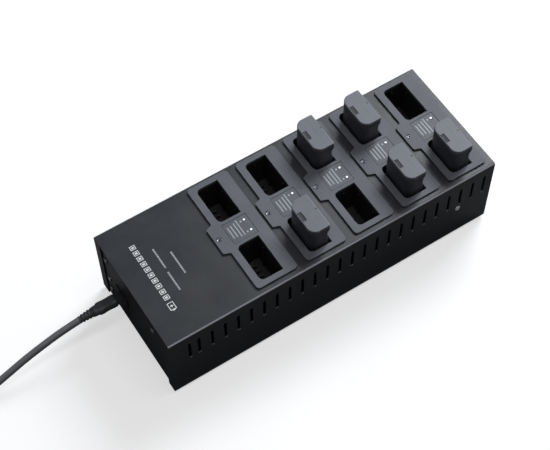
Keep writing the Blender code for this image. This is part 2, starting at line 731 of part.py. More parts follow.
def make_packs(case_material, cap_material):
    split = PACK_HEIGHT - CAP_HEIGHT
    edge = PACK_EDGE
    foot_step = PACK_STEPS[-1][1]
    rings = [level(pack_outline(edge, foot_step), 0), level(pack_outline(0, foot_step), edge)]
    for down, step in reversed(PACK_STEPS):
        rings.append(level(pack_outline(0, step), PACK_HEIGHT - down))
    rings.append(level(pack_outline(), split - GAP))
    case = loft("pack_case", rings)
    x = BLADE_SIZE[0] / 2 + PACK_SLOT_MARGIN
    low = BLADE_STEPS[0] - BLADE_SIZE[1] / 2 - PACK_SLOT_MARGIN
    high = BLADE_STEPS[-1] + BLADE_SIZE[1] / 2 + PACK_SLOT_MARGIN
    slot = box("slot", (BLADE_X - x, low, -edge), (BLADE_X + x, high, PACK_SLOT_HEIGHT))
    cut_out(case, slot)
    names = [f"pack_case_{n}_{side}" for n, side in pack_names()]
    copies(case, names, pack_places(), case_material)
    cap = loft(
        "pack_cap",
        [
            level(pack_outline(), split),
            level(pack_outline(), PACK_HEIGHT - edge),
            level(pack_outline(edge / 3), PACK_HEIGHT - edge / 3),
            level(pack_outline(edge), PACK_HEIGHT),
        ],
    )
    long, wide, depth = THUMB_MARK
    x, y = THUMB_MARK_MIDDLE
    mark = box(
        "mark",
        (x - long / 2, y - wide / 2, PACK_HEIGHT - depth),
        (x + long / 2, y + wide / 2, PACK_HEIGHT + depth),
    )
    dimple = circle(PIN_DIMPLE, PIN_DIMPLE_RADIUS, HOLE_SIDES)
    cut_out(cap, mark, prism("dimple", dimple, PACK_HEIGHT - depth, PACK_HEIGHT + depth))
    names = [f"pack_cap_{n}_{side}" for n, side in pack_names()]
    copies(cap, names, pack_places(), cap_material)


# ---- Mains inlet and power supply ----
def make_inlet(material):
    """Two-pin appliance inlet: a rim outside the end panel and a body through it."""
    body, rim = INLET_BODY, INLET_RIM
    face = -PANEL_FACE - GAP
    a, b = rim[1] / 2, rim[2] / 2
    r = INLET_RIM_ROUND
    inlet = prism("inlet", rounded(-a, -b, a, b, (r,) * 4, 2), face - rim[0], face, "X")
    a, b = body[1] / 2, body[2] / 2
    join_on(inlet, prism("body", rectangle(-a, -b, a, b), face - rim[0] / 2, face + body[0], "X"))
    a, b = (size / 2 + NOSE_SLACK for size in NOSE_SIZE)
    deep = -PANEL_FACE + NOSE_GRIP + NOSE_SLACK
    nose = rounded(-a, -b, a, b, (b * NOSE_ROUNDNESS,) * 4, CORNER_STEPS)
    cut_out(inlet, prism("cavity", nose, face - 2 * rim[0], deep, "X"))
    for side in (-1, 1):
        pin = circle((side * PIN_SPREAD, 0), PIN_RADIUS, HOLE_SIDES)
        join_on(inlet, prism("pin", pin, -PANEL_FACE + 2 * GAP, deep + SHEET, "X"))
    place(inlet, "mains_inlet", (0, INLET_Y, INLET_Z), material)


def power_space():
    """The free length for the power supply, between the end panel and the first pockets' board."""
    start = -PANEL_FACE + SHEET + POWER_MARGIN
    end = FIRST_BAY_X - POCKET_X / 2 - POCKET_WALL - POWER_MARGIN
    return start, end


def make_power_board(board_material):
    """Power supply board on four legs with its transformer and capacitors, and the heat sink's corner."""
    start, end = power_space()
    half = HALF_WIDTH - SHEET - POWER_MARGIN
    low = FOOT_HEIGHT + POWER_BOARD_RISE
    top = low + BOARD_THICKNESS
    board = box("board", (start, -half, low), (end, half, top))
    length = end - start
    inside = BOARD_THICKNESS / 2
    for x in (start + LEG_INSET, end - LEG_INSET):
        for y in (-half + LEG_INSET, half - LEG_INSET):
            leg = circle((x, y), LEG_RADIUS, HOLE_SIDES)
            join_on(board, prism("leg", leg, BASE_TOP + GAP, top - inside))
    start_share, length_share = TRANSFORMER_SHARES
    x, core = start + start_share * length, length_share * length
    near, far = TRANSFORMER_Y
    low_corner = (x, near, top - inside)
    join_on(board, box("core", low_corner, (x + core, far, top + TRANSFORMER_HEIGHT)))
    for y in CAN_Y:
        can = circle((x + core / 2, y), CAN_RADIUS, ROUND_SIDES)
        join_on(board, prism("can", can, top - inside, top + CAN_HEIGHT))
    place(board, "power_board", (0, 0, 0), board_material)
    return start + HEAT_SINK_CORNER[0], -half + HEAT_SINK_CORNER[1], top + GAP


def make_heat_sink(corner, material):
    """A back plate with fins towards -X, standing on the power board."""
    depth, width, height = HEAT_SINK
    x, y, low = corner
    pitch = width / (FIN_COUNT - 0.5)
    root = depth * FIN_DEPTH
    comb = [(depth, 0), (0, 0)]
    for i in range(FIN_COUNT - 1):
        start = i * pitch
        comb += [(0, start + pitch / 2), (root, start + pitch / 2)]
        comb += [(root, start + pitch), (0, start + pitch)]
    comb += [(0, width), (depth, width)]
    outline = [(x + a, y + b) for a, b in comb]
    place(prism("sink", outline, low, low + height), "heat_sink", (0, 0, 0), material)


def make_ribbon(material):
    """Flat cable along the base, with a riser to each contact board and one to the power board."""
    low = BASE_TOP + RIBBON_RISE - RIBBON_THICKNESS
    top = low + RIBBON_THICKNESS
    start, end = power_space()
    first = end - RIBBON_START
    under_power = FOOT_HEIGHT + POWER_BOARD_RISE - GAP
    under_boards = DECK_Z + BOARD_TOP - BOARD_THICKNESS - GAP
    risers = [(first, under_power)]
    risers += [(middle.x + RIBBON_RISER_X, under_boards) for middle in module_places()]
    profile = [(low, risers[0][0])]
    for x, height in risers:
        if x != first:
            profile.append((top, x))
        profile += [(height, x), (height, x + RIBBON_THICKNESS)]
        if x != risers[-1][0]:
            profile.append((top, x + RIBBON_THICKNESS))
    profile.append((low, risers[-1][0] + RIBBON_THICKNESS))
    width = RIBBON_WIDTH / 2
    ribbon = prism("ribbon", profile, RIBBON_Y - width, RIBBON_Y + width, "Y")
    place(ribbon, "ribbon_cable", (0, 0, 0), material)


# ---- Mains lead ----
def oval(x, width, height, roundness=NOSE_ROUNDNESS):
    """A ring across the lead's axis at x, with round corners."""
    a, b = width / 2, height / 2
    r = min(a, b) * roundness
    outline = rounded(-a, -b, a, b, (r, r, r, r), CORNER_STEPS)
    return [(x, INLET_Y + y, INLET_Z + z) for y, z in outline]


def make_connector(material):
    """The lead's socket: a nose in the inlet, a longer body and a taper down to the boot."""
    length, width, height = CONNECTOR_SIZE
    tip = -PANEL_FACE + NOSE_GRIP
    start = CONNECTOR_START
    nose_y, nose_z = NOSE_SIZE
    narrow = 2 * BOOT_RADIUS
    flatness, roundness = TAPER_SHAPE
    connector = loft(
        "connector",
        [
            oval(tip, nose_y, nose_z),
            oval(start, nose_y, nose_z),
            oval(start - CONNECTOR_EDGE, width, height),
            oval(start - length, width, height),
            oval(CONNECTOR_END, narrow, narrow * flatness, roundness),
        ],
    )
    bores = []
    for side in (-1, 1):
        spot = (INLET_Y + side * PIN_SPREAD, INLET_Z)
        bore = circle(spot, PIN_RADIUS + HOLE_SLACK, HOLE_SIDES)
        bores.append(prism("bore", bore, -PANEL_FACE - 2 * GAP, tip + SHEET, "X"))
    cut_out(connector, gather("bores", bores))
    place(connector, "lead_connector", (0, 0, 0), material)


def boot_axis(along):
    """A point on the boot's middle line, which droops in an arc, and its direction."""
    angle = BOOT_DROOP * along
    radius = BOOT_LENGTH / BOOT_DROOP
    x = CONNECTOR_END - GAP - radius * math.sin(angle)
    z = INLET_Z - radius * (1 - math.cos(angle))
    return Vector((x, INLET_Y, z)), angle


def boot_ring(along, radius):
    middle, angle = boot_axis(along)
    ring = []
    for y, up in circle((0, 0), radius, ROUND_SIDES):
        lean, rise = up * math.sin(angle), up * math.cos(angle)
        ring.append((middle.x - lean, middle.y + y, middle.z + rise))
    return ring


def make_boot(material):
    """Strain relief: a tapered sleeve with grooves round it, drooping a little."""
    rings = []
    thin = CORD_DIAMETER / 2 + BOOT_LIP
    steps = 4 * BOOT_RINGS
    for i in range(steps + 1):
        along = i / steps
        radius = BOOT_RADIUS + (thin - BOOT_RADIUS) * along
        groove = BOOT_GROOVE if i % 4 in (2, 3) else 0.0
        rings.append(boot_ring(along, radius - groove * (1 - along)))
    place(loft("boot", rings), "lead_boot", (0, 0, 0), material)


def smooth_route(points, spacing):
    """Points along a Catmull-Rom curve through the route, so that its bends run into each other."""
    route = [Vector(p) for p in points]
    route = [2 * route[0] - route[1]] + route + [2 * route[-1] - route[-2]]
    made = []
    for p0, p1, p2, p3 in zip(route, route[1:], route[2:], route[3:]):
        count = max(1, round((p2 - p1).length / spacing))
        for i in range(count):
            t = i / count
            slope = (p2 - p0) / 2
            bend = p0 - 2.5 * p1 + 2 * p2 - p3 / 2
            twist = (3 * p1 - p0 - 3 * p2 + p3) / 2
            made.append(p1 + slope * t + bend * t * t + twist * t * t * t)
    made.append(route[-2])
    return made


def cord_tube(name, points, material):
    curve = bpy.data.curves.new(name, "CURVE")
    curve.dimensions = "3D"
    curve.bevel_depth = CORD_DIAMETER / 2
    curve.bevel_resolution = 2
    curve.use_fill_caps = True
    spline = curve.splines.new("POLY")
    spline.points.add(len(points) - 1)
    for spot, point in zip(spline.points, points):
        spot.co = (*point, 1.0)
    curve.materials.append(material)
    obj = bpy.data.objects.new(name, curve)
    bpy.context.scene.collection.objects.link(obj)


def make_cord(material):
    """The lead's free stretches: from the boot to the coil, and from the coil to the plug."""
    end, angle = boot_axis(1.0)
    away = Vector((-math.cos(angle), 0, -math.sin(angle)))
    spacing = 2 * CORD_DIAMETER
    cord_tube("lead_cord", smooth_route([end + away * GAP, *ROUTE], spacing), material)
    cord_tube("lead_tail", smooth_route(TAIL, spacing / 2), material)


def make_coil(cord_material, tie_material):
    """The rest of the lead as one ring of turns, and the tie round them."""
    inner, outer = COIL_RADII
    sides = COIL_SIDES
    rings = []
    height = COIL_HEIGHT
    bevel = CORD_DIAMETER / 4
    profile = [
        (inner, GAP + bevel),
        (inner + bevel, GAP),
        (outer - bevel, GAP),
        (outer, GAP + bevel),
        (outer, height - bevel),
        (outer - bevel, height),
        (inner + bevel, height),
        (inner, height - bevel),
    ]
    for i in range(sides):
        turn = Matrix.Rotation(2 * math.pi * i / sides, 3, "Z")
        rings.append([turn @ Vector((radius, 0, z)) for radius, z in profile])
    count = len(profile)
    points = [point for ring in rings for point in ring]
    faces = []
    for i in range(sides):
        here, after = i * count, (i + 1) % sides * count
        for j in range(count):
            k = (j + 1) % count
            faces.append((here + j, here + k, after + k, after + j))
    place(solid("coil", points, faces), "lead_coil", (*COIL_CENTRE, 0), cord_material)
    width, thick = TIE_SIZE
    hollow = inner * math.cos(math.pi / sides)
    near = math.sqrt(hollow**2 - (width / 2) ** 2) - GAP
    far, top = outer + GAP, height + GAP
    strap = [
        (near - thick, GAP),
        (near, GAP),
        (near, top),
        (far, top),
        (far, GAP),
        (far + thick, GAP),
        (far + thick, top + thick),
        (near - thick, top + thick),
    ]
    strap = [(z, x) for x, z in strap]
    tie = prism("tie", strap, -width / 2, width / 2, "Y")
    place(tie, "coil_tie", (*COIL_CENTRE, 0), tie_material, (0, 0, TIE_TURN))


def plug_rings(middle):
    """The plug's outline from the cord's end: a collar, a neck and the body, with a small edge."""
    length, width, height = PLUG_SIZE
    collar, radius = PLUG_COLLAR
    neck, neck_width, neck_height = PLUG_NECK
    soft, full, small = PLUG_ROUNDS
    start, edge = 2 * GAP, PLUG_FACE_EDGE
    thin = radius * PLUG_NECK[1]
    face = start + collar + length
    sections = [
        (start, 2 * thin, 2 * thin, thin * 0.9),
        (start + collar, 2 * radius, 2 * radius, radius * 0.9),
        (start + collar + neck, width * neck_width, height * neck_height, soft),
        (start + collar + PLUG_SHOULDER, width, height, full),
        (face - edge, width, height, full),
        (face, width - 2 * edge, height - 2 * edge, small),
    ]
    rings = []
    for x, w, h, r in sections:
        outline = rounded(-w / 2, -h / 2, w / 2, h / 2, (r, r, r, r), CORNER_STEPS)
        rings.append([(x, y, middle + z) for y, z in outline])
    return rings, face


def make_plug(body_material):
    """Two-blade mains plug lying on the floor beside the coil, its blades towards +X."""
    end = Vector(TAIL[-1])
    before = Vector(TAIL[-2])
    heading = math.atan2(end.y - before.y, end.x - before.x)
    middle = GAP - end.z + PLUG_SIZE[2] / 2
    rings, face = plug_rings(middle)
    plug = loft("plug", rings)
    reach, thick, tall = PLUG_BLADE
    for side in (-1, 1):
        y = side * PLUG_BLADE_SPREAD
        low_corner = (face - thick, y - thick / 2, middle - tall / 2)
        join_on(plug, box("blade", low_corner, (face + reach, y + thick / 2, middle + tall / 2)))
    place(plug, "mains_plug", end, body_material, (0, 0, heading))


def build():
    clear_scene()
    painted = finish_material("painted_steel", (0.045, 0.052, 0.062), 0.55)
    moulded = finish_material("moulded_plastic", (0.075, 0.085, 0.100), 0.50)
    legend = finish_material("legend_film", (0.110, 0.120, 0.135), 0.45)
    clear = finish_material("clear_plastic", (0.85, 0.90, 0.92), 0.15)
    pack_black = finish_material("pack_case", (0.030, 0.032, 0.036), 0.55)
    pack_grey = finish_material("pack_cap", (0.095, 0.105, 0.125), 0.50)
    steel = finish_material("screw_steel", (0.55, 0.55, 0.56), 0.30, 1.0)
    rubber = finish_material("rubber", (0.020, 0.020, 0.021), 0.80)
    board_green = finish_material("circuit_board", (0.030, 0.130, 0.060), 0.45)
    aluminium = finish_material("aluminium", (0.75, 0.76, 0.77), 0.35, 1.0)
    ribbon_grey = finish_material("ribbon_grey", (0.35, 0.36, 0.38), 0.55)
    cord_black = finish_material("cord_black", (0.025, 0.025, 0.028), 0.55)
    make_cover(painted)
    make_chassis(painted)
    make_feet(rubber)
    make_modules(moulded)
    make_labels(legend)
    make_lights(clear)
    make_contact_boards(board_green)
    make_packs(pack_black, pack_grey)
    make_screws(steel)
    make_inlet(pack_black)
    make_heat_sink(make_power_board(board_green), aluminium)
    make_ribbon(ribbon_grey)
    make_connector(cord_black)
    make_boot(cord_black)
    make_cord(cord_black)
    make_coil(cord_black, rubber)
    make_plug(cord_black)


build()
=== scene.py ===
"""Looks of a ten-bay battery charging station: fine surfaces, finishes, studio and camera.

Metres, +Z up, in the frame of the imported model. Places come from the model's own pieces.
"""

import math

import bmesh
import bpy
import numpy as np
from mathutils import Matrix, Vector
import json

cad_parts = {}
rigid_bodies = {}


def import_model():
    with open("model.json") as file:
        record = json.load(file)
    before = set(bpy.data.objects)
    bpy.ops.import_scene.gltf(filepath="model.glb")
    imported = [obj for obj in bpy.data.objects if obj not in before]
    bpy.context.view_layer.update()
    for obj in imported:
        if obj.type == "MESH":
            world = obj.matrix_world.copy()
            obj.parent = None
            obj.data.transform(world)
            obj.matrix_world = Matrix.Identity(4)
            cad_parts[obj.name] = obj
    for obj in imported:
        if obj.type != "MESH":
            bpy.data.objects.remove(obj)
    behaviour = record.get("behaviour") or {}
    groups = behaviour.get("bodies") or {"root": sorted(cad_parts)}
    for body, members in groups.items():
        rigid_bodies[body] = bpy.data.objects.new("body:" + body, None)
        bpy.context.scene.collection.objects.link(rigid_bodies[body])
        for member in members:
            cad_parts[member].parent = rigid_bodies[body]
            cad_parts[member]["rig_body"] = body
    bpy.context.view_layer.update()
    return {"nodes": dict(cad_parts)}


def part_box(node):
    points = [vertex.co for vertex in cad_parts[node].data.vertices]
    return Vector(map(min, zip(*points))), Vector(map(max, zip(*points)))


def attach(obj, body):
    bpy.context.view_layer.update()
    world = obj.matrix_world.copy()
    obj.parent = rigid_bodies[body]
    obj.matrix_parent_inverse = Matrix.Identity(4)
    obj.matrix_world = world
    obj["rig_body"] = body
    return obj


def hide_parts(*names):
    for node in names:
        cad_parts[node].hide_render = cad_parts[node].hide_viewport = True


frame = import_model()
MODEL = frame["nodes"]
BODY_OF = {node: obj["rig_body"] for node, obj in MODEL.items()}

# ---- Camera ----
CAMERA_PLACE = (-0.40236, -0.59659, 1.21557)
CAMERA_AZIMUTH = math.radians(57.74)  # from +X towards +Y
CAMERA_DOWN = math.radians(58.33)
CAMERA_ROLL = math.radians(0.54)
CAMERA_LENS = 90.66

# ---- Mains lead's sizes ----
LEAD_DIAMETER = 0.007
LEAD_ROUTE = (
    (-0.2380, 0.0270, 0.0412),
    (-0.2520, 0.0270, 0.0386),
    (-0.2700, 0.0268, 0.0336),
    (-0.2920, 0.0262, 0.0268),
    (-0.3140, 0.0250, 0.0189),
    (-0.3350, 0.0238, 0.0117),
    (-0.3530, 0.0228, 0.0066),
    (-0.3690, 0.0223, 0.0044),
    (-0.3838, 0.0221, 0.0039),
)
LEAD_TAIL = (
    (-0.4042, -0.0852, 0.0098),
    (-0.3960, -0.0880, 0.0088),
    (-0.3870, -0.0900, 0.0090),
    (-0.3800, -0.0908, 0.0102),
)
COIL_CENTRE = (-0.4150, -0.0270)
COIL_OUTER_TURN = 0.0491  # radius of the first turn, on the floor
COIL_INNER_TURN = 0.0275
COIL_TOP_TURN = 0.0509
COIL_LAYERS = (0.0038, 0.0110)  # heights of the cord's middle line
COIL_TURNS = (3.0, 45 / 360, 1195 / 360)  # inwards, climbing and outwards
TIE_TURN = math.radians(205)
TIE_LOOP = (0.0237, 0.0547, 0.0003, 0.0147)  # its inside: near and far radius, low and high
TIE_THICKNESS = (0.0009, 0.0002)  # over the turns, and under them
TIE_CORNERS = (0.0030, 0.0038)  # radii of its inner and outer corners
TIE_WIDTH = 0.0100
BOOT_RADII = (0.00495, 0.0039)  # at the connector and at the cord
BOOT_DROOP = 0.079  # its fall along its length
BOOT_GROOVES = 4
BOOT_GROOVE_DEPTH = 0.0008
GRIP_RIDGES = 8
GRIP_DEPTH = 0.00035
COLLAR_LENGTH = 0.0090
COLLAR_WIDE = (0.0084, 0.0102)  # at the cord and at the plug's body
COLLAR_RIBS = 4
COLLAR_RIB = 0.0005
PLUG_BODY = (0.0248, 0.0188)  # width and height
PLUG_FACE = 0.0388  # from the cord's entry to where the body's end rounds off
PLUG_ROUND = 0.0008
BLADE_SPREAD = 0.00635
BLADE_SECTIONS = (  # distance from the cord's entry, thickness, height and corner radius
    (0.0380, 0.0015, 0.0063, 0.0003),
    (0.0540, 0.0015, 0.0063, 0.0003),
    (0.0550, 0.0011, 0.0056, 0.0003),
    (0.0554, 0.0006, 0.0046, 0.0002),
)

# ---- Places read from the model ----
CASE_LOW, CASE_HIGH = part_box("cover")
DECK_Z = CASE_HIGH.z
BAY_COUNT = sum(name.startswith("cradle_module") for name in MODEL)
PACKS = sorted(name.removeprefix("pack_cap_") for name in MODEL if name.startswith("pack_cap_"))
LABEL_SHIFT = 0.0012  # from a module's middle to its legend plate's


def bay_middle(number):
    """The middle of a module's pockets at the deck's height."""
    low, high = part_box(f"legend_plate_{number}")
    return Vector(((low.x + high.x) / 2 - LABEL_SHIFT, (low.y + high.y) / 2, DECK_Z))


BAYS = [bay_middle(i + 1) for i in range(BAY_COUNT)]


# ---- Meshes from arrays ----
def mesh_object(name, points, faces, uv=None):
    """A mesh object from an array of points and a list of faces, smooth, with a UV for each point."""
    mesh = bpy.data.meshes.new(name)
    mesh.from_pydata(np.asarray(points, float).tolist(), [], [tuple(map(int, face)) for face in faces])
    mesh.validate()
    if uv is not None:
        layer = mesh.uv_layers.new(name="UVMap")
        corner = np.empty(len(mesh.loops), np.int32)
        mesh.loops.foreach_get("vertex_index", corner)
        layer.data.foreach_set("uv", np.asarray(uv, np.float32)[corner].ravel())
    mesh.shade_smooth()
    obj = bpy.data.objects.new(name, mesh)
    bpy.context.scene.collection.objects.link(obj)
    return obj


def grid_faces(rows, columns, offset=0, wrap=False):
    """Quads of a grid of points in row order, with its last column joined to its first where it wraps."""
    last = columns if wrap else columns - 1
    i, j = np.meshgrid(np.arange(rows - 1), np.arange(last), indexing="ij")
    k = (j + 1) % columns
    quads = np.stack([i * columns + j, i * columns + k, (i + 1) * columns + k, (i + 1) * columns + j], -1)
    return (quads.reshape(-1, 4) + offset).tolist()


def tube_parts(rings):
    """Points, faces and UVs of rings of points joined in order, with both ends closed by a middle point.

    Ring k of the array is carried on to ring k + 1. U runs round and V runs along, in metres.
    """
    count, sides = rings.shape[:2]
    middles = rings[[0, -1]].mean(axis=1)
    points = np.concatenate([rings.reshape(-1, 3), middles])
    faces = grid_faces(count, sides, wrap=True)
    start, end = count * sides, count * sides + 1
    around = np.arange(sides)
    ahead = (around + 1) % sides
    faces += [(start, b, a) for a, b in zip(around, ahead)]
    high = (count - 1) * sides
    faces += [(end, high + a, high + b) for a, b in zip(around, ahead)]
    along = np.concatenate([[0], np.cumsum(np.linalg.norm(np.diff(rings.mean(axis=1), axis=0), axis=1))])
    turn = np.broadcast_to(around / sides, (count, sides))
    uv = np.stack([turn, np.broadcast_to(along[:, None], (count, sides))], -1).reshape(-1, 2)
    return points, faces, np.concatenate([uv, [[0, along[0]], [0, along[-1]]]])


def join_parts(name, parts):
    """One object from several sets of points, faces and UVs."""
    points, faces, uvs, total = [], [], [], 0
    for part in parts:
        points.append(part[0])
        faces += [tuple(i + total for i in face) for face in part[1]]
        uvs.append(part[2])
        total += len(part[0])
    return mesh_object(name, np.concatenate(points), faces, np.concatenate(uvs))


def frames_along(path):
    """Side and up directions at each point of a path, carried along it with the least twist.

    At each step the side direction loses its share of the new tangent, and up is side x tangent.
    """
    tangent = np.gradient(path, axis=0)
    tangent /= np.linalg.norm(tangent, axis=1, keepdims=True)
    side = np.empty_like(path)
    now = np.cross(tangent[0], [0, 0, 1.0])
    for i, direction in enumerate(tangent):
        now = now - direction * (now @ direction)
        now /= np.linalg.norm(now)
        side[i] = now
    return side, np.cross(side, tangent)


def swept(path, outline):
    """Rings of an outline carried along a path: P(k, a) = path(k) + side(k) u(k, a) + up(k) v(k, a)."""
    side, up = frames_along(path)
    return path[:, None] + outline[..., :1] * side[:, None] + outline[..., 1:] * up[:, None]


def circle(sides):
    """Points of the unit circle, counter-clockwise."""
    angles = np.arange(sides) * 2 * math.pi / sides
    return np.stack([np.cos(angles), np.sin(angles)], -1)


def rounded_outlines(widths, heights, radii, steps):
    """Rounded rectangles as one array: each corner is an arc of its radius about its own centre."""
    widths, heights, radii = (np.asarray(v, float)[:, None, None] for v in (widths, heights, radii))
    angles = (np.arange(4)[:, None] + np.linspace(0, 1, steps + 1)) * math.pi / 2
    sign_x = np.array([1, -1, -1, 1])[:, None]
    sign_y = np.array([1, 1, -1, -1])[:, None]
    x = sign_x * (widths / 2 - radii) + radii * np.cos(angles)
    y = sign_y * (heights / 2 - radii) + radii * np.sin(angles)
    return np.stack([x, y], -1).reshape(len(widths), -1, 2)


def turned_parts(profile, sides, place):
    """A profile of (radius, height) points turned about +Z at a place: P(k, a) = (r cos a, r sin a, h)."""
    profile = np.asarray(profile, float)
    heights = np.broadcast_to(profile[:, 1:, None], (len(profile), sides, 1))
    rings = np.concatenate([profile[:, :1, None] * circle(sides), heights], -1)
    return tube_parts(rings + np.asarray(place, float))


def catmull(points, step):
    """A smooth path through points, cut every step or so: each span is the Catmull-Rom cubic."""
    points = np.asarray(points, float)
    ends = np.concatenate([[2 * points[0] - points[1]], points, [2 * points[-1] - points[-2]]])
    spans = []
    for a, b, c, d in zip(ends, ends[1:], ends[2:], ends[3:]):
        count = max(2, round(np.linalg.norm(c - b) / step))
        t = (np.arange(count) / count)[:, None]
        square = 2 * a - 5 * b + 4 * c - d
        cube = 3 * b - a - 3 * c + d
        spans.append(0.5 * (2 * b + (c - a) * t + square * t**2 + cube * t**3))
    return np.concatenate([*spans, points[-1:]])


WELD = 2e-6  # points nearer than this become one
FLAT_BEND = math.radians(0.6)  # faces that meet at less are one flat face
SHARP_BEND = math.radians(28)  # edges that bend more are rounded


def soften(name, source, width, segments=2):
    """A model piece's shape with its sharp edges rounded; "edge" is 1 on the rounded strips."""
    mesh = MODEL[source].data.copy()
    mesh.name = name
    work = bmesh.new()
    work.from_mesh(mesh)
    bmesh.ops.remove_doubles(work, verts=work.verts, dist=WELD)
    bmesh.ops.dissolve_limit(work, angle_limit=FLAT_BEND, verts=work.verts, edges=work.edges)
    sharp = [e for e in work.edges if len(e.link_faces) == 2 and e.calc_face_angle(0) > SHARP_BEND]
    mark = work.faces.layers.float.new("edge")
    made = bmesh.ops.bevel(
        work, geom=sharp, offset=width, offset_type="OFFSET", segments=segments, profile=0.5,
        affect="EDGES", clamp_overlap=True, loop_slide=True,
    )
    for face in made["faces"]:
        face[mark] = 1.0
    bmesh.ops.remove_doubles(work, verts=work.verts, dist=WELD)
    work.to_mesh(mesh)
    work.free()
    mesh.materials.clear()
    mesh.shade_smooth()
    obj = bpy.data.objects.new(name, mesh)
    bpy.context.scene.collection.objects.link(obj)
    even = obj.modifiers.new("even_normals", "WEIGHTED_NORMAL")
    even.mode = "FACE_AREA"
    even.weight = 80
    even.keep_sharp = False
    return obj


def mark_points(obj, name, values):
    """A value for each point of a mesh, by name."""
    layer = obj.data.attributes.new(name, "FLOAT", "POINT")
    layer.data.foreach_set("value", np.asarray(values, np.float32))


def stand_for(obj, *nodes, finish, slot):
    """Show the piece in place of model nodes, riding on their body, in its finish."""
    obj.data.materials.clear()
    obj.data.materials.append(finish)
    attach(obj, BODY_OF[nodes[0]])
    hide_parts(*nodes)


# ---- Camera, floor and lights ----
def make_camera():
    """A camera that looks down along one azimuth, rolled a little about its own axis."""
    flat = Vector((math.cos(CAMERA_AZIMUTH), math.sin(CAMERA_AZIMUTH), 0))
    ahead = flat * math.cos(CAMERA_DOWN) - Vector((0, 0, math.sin(CAMERA_DOWN)))
    level = ahead.cross(Vector((0, 0, 1))).normalized()
    below = ahead.cross(level)
    right = level * math.cos(CAMERA_ROLL) + below * math.sin(CAMERA_ROLL)
    up = right.cross(ahead)
    data = bpy.data.cameras.new("camera")
    data.sensor_width = 36
    data.lens = CAMERA_LENS
    camera = bpy.data.objects.new("camera", data)
    turn = Matrix((right, up, -ahead)).transposed()
    camera.matrix_world = Matrix.Translation(CAMERA_PLACE) @ turn.to_4x4()
    bpy.context.scene.collection.objects.link(camera)
    bpy.context.scene.camera = camera


def area_light(name, place, target, size, power, colour=(1, 1, 1)):
    """A rectangular light at a place, turned towards its target."""
    data = bpy.data.lights.new(name, "AREA")
    data.shape = "RECTANGLE"
    data.size, data.size_y = size
    data.energy = power
    data.color = colour
    light = bpy.data.objects.new(name, data)
    aim = (Vector(target) - Vector(place)).to_track_quat("-Z", "Y")
    light.matrix_world = Matrix.Translation(place) @ aim.to_matrix().to_4x4()
    bpy.context.scene.collection.objects.link(light)


def make_floor():
    """A large pale floor: it looks evenly bright, and throws little light back on to what stands on it."""
    half = 6.0
    corners = [(-half, -half, 0), (half, -half, 0), (half, half, 0), (-half, half, 0)]
    floor = mesh_object("floor", corners, [(0, 1, 2, 3)])
    material = bpy.data.materials.new("pale_floor")
    material.use_nodes = True
    tree = material.node_tree
    shader = tree.nodes["Principled BSDF"]
    place = node(tree, "TexCoord").outputs["Object"]
    cloud = texture(tree, "NOISE", place, 1.7, detail=2)
    seen = node(tree, "LightPath").outputs["Is Camera Ray"]
    bright = ramp(tree, cloud, [(0.3, (0.50, 0.50, 0.50)), (0.7, (0.54, 0.54, 0.54))])
    glow = blend_colours(tree, seen, (0.0, 0.0, 0.0), (0.58, 0.58, 0.58))
    feed(tree, shader.inputs["Base Color"], blend_colours(tree, seen, (0.15, 0.15, 0.155), bright))
    feed(tree, shader.inputs["Emission Color"], glow)
    shader.inputs["Emission Strength"].default_value = 1.0
    shader.inputs["Roughness"].default_value = 0.9
    shader.inputs["Specular IOR Level"].default_value = 0.1
    floor.data.materials.append(material)


def make_sky():
    """An even sky that is dim at the horizon and brighter overhead."""
    world = bpy.data.worlds.new("studio")
    world.use_nodes = True
    tree = world.node_tree
    split = node(tree, "SeparateXYZ")
    feed(tree, split.inputs[0], node(tree, "TexCoord").outputs["Generated"])
    shade = ramp(tree, split.outputs["Z"], [(0.0, (0.10, 0.10, 0.115)), (1.0, (0.40, 0.41, 0.44))])
    feed(tree, tree.nodes["Background"].inputs["Color"], shade)
    tree.nodes["Background"].inputs["Strength"].default_value = 0.55
    bpy.context.scene.world = world


def make_studio():
    """A wide soft key light from the far right and above, a faint one overhead, and a dim sky."""
    make_floor()
    make_sky()
    area_light("key_light", (1.90, 0.98, 2.15), (0, 0, 0.05), (1.3, 1.3), 75, (0.94, 0.97, 1.0))
    area_light("top_light", (0.0, -0.25, 1.9), (0, 0, 0), (1.2, 0.25), 7)
    bpy.context.scene.view_settings.view_transform = "Standard"


# ---- Shader building blocks ----
def node(tree, kind, **settings):
    """A new shader node of a kind, with its settings."""
    made = tree.nodes.new("ShaderNode" + kind)
    for key, value in settings.items():
        setattr(made, key, value)
    return made


def feed(tree, socket, value):
    """Link a socket to another, or set its value."""
    if isinstance(value, bpy.types.NodeSocket):
        tree.links.new(value, socket)
    else:
        socket.default_value = value


def maths(tree, operation, *values, clamp=False):
    """A maths node's result for sockets or numbers."""
    made = node(tree, "Math", operation=operation, use_clamp=clamp)
    for socket, value in zip(made.inputs, values):
        feed(tree, socket, value)
    return made.outputs[0]


def vector_maths(tree, operation, *values):
    """A vector maths node's result for sockets or triples."""
    made = node(tree, "VectorMath", operation=operation)
    for socket, value in zip(made.inputs, values):
        feed(tree, socket, value)
    return made.outputs[0]


def texture(tree, kind, place, scale, detail=3.0, roughness=0.5, **settings):
    """A noise or a cell pattern's value from 0 to 1, at so many per metre."""
    if kind == "NOISE":
        made = node(tree, "TexNoise", **settings)
        made.inputs["Detail"].default_value = detail
        made.inputs["Roughness"].default_value = roughness
        out = made.outputs["Fac"]
    else:
        made = node(tree, "TexVoronoi", **settings)
        out = made.outputs["Distance"]
    feed(tree, made.inputs["Vector"], place)
    feed(tree, made.inputs["Scale"], scale)
    return out


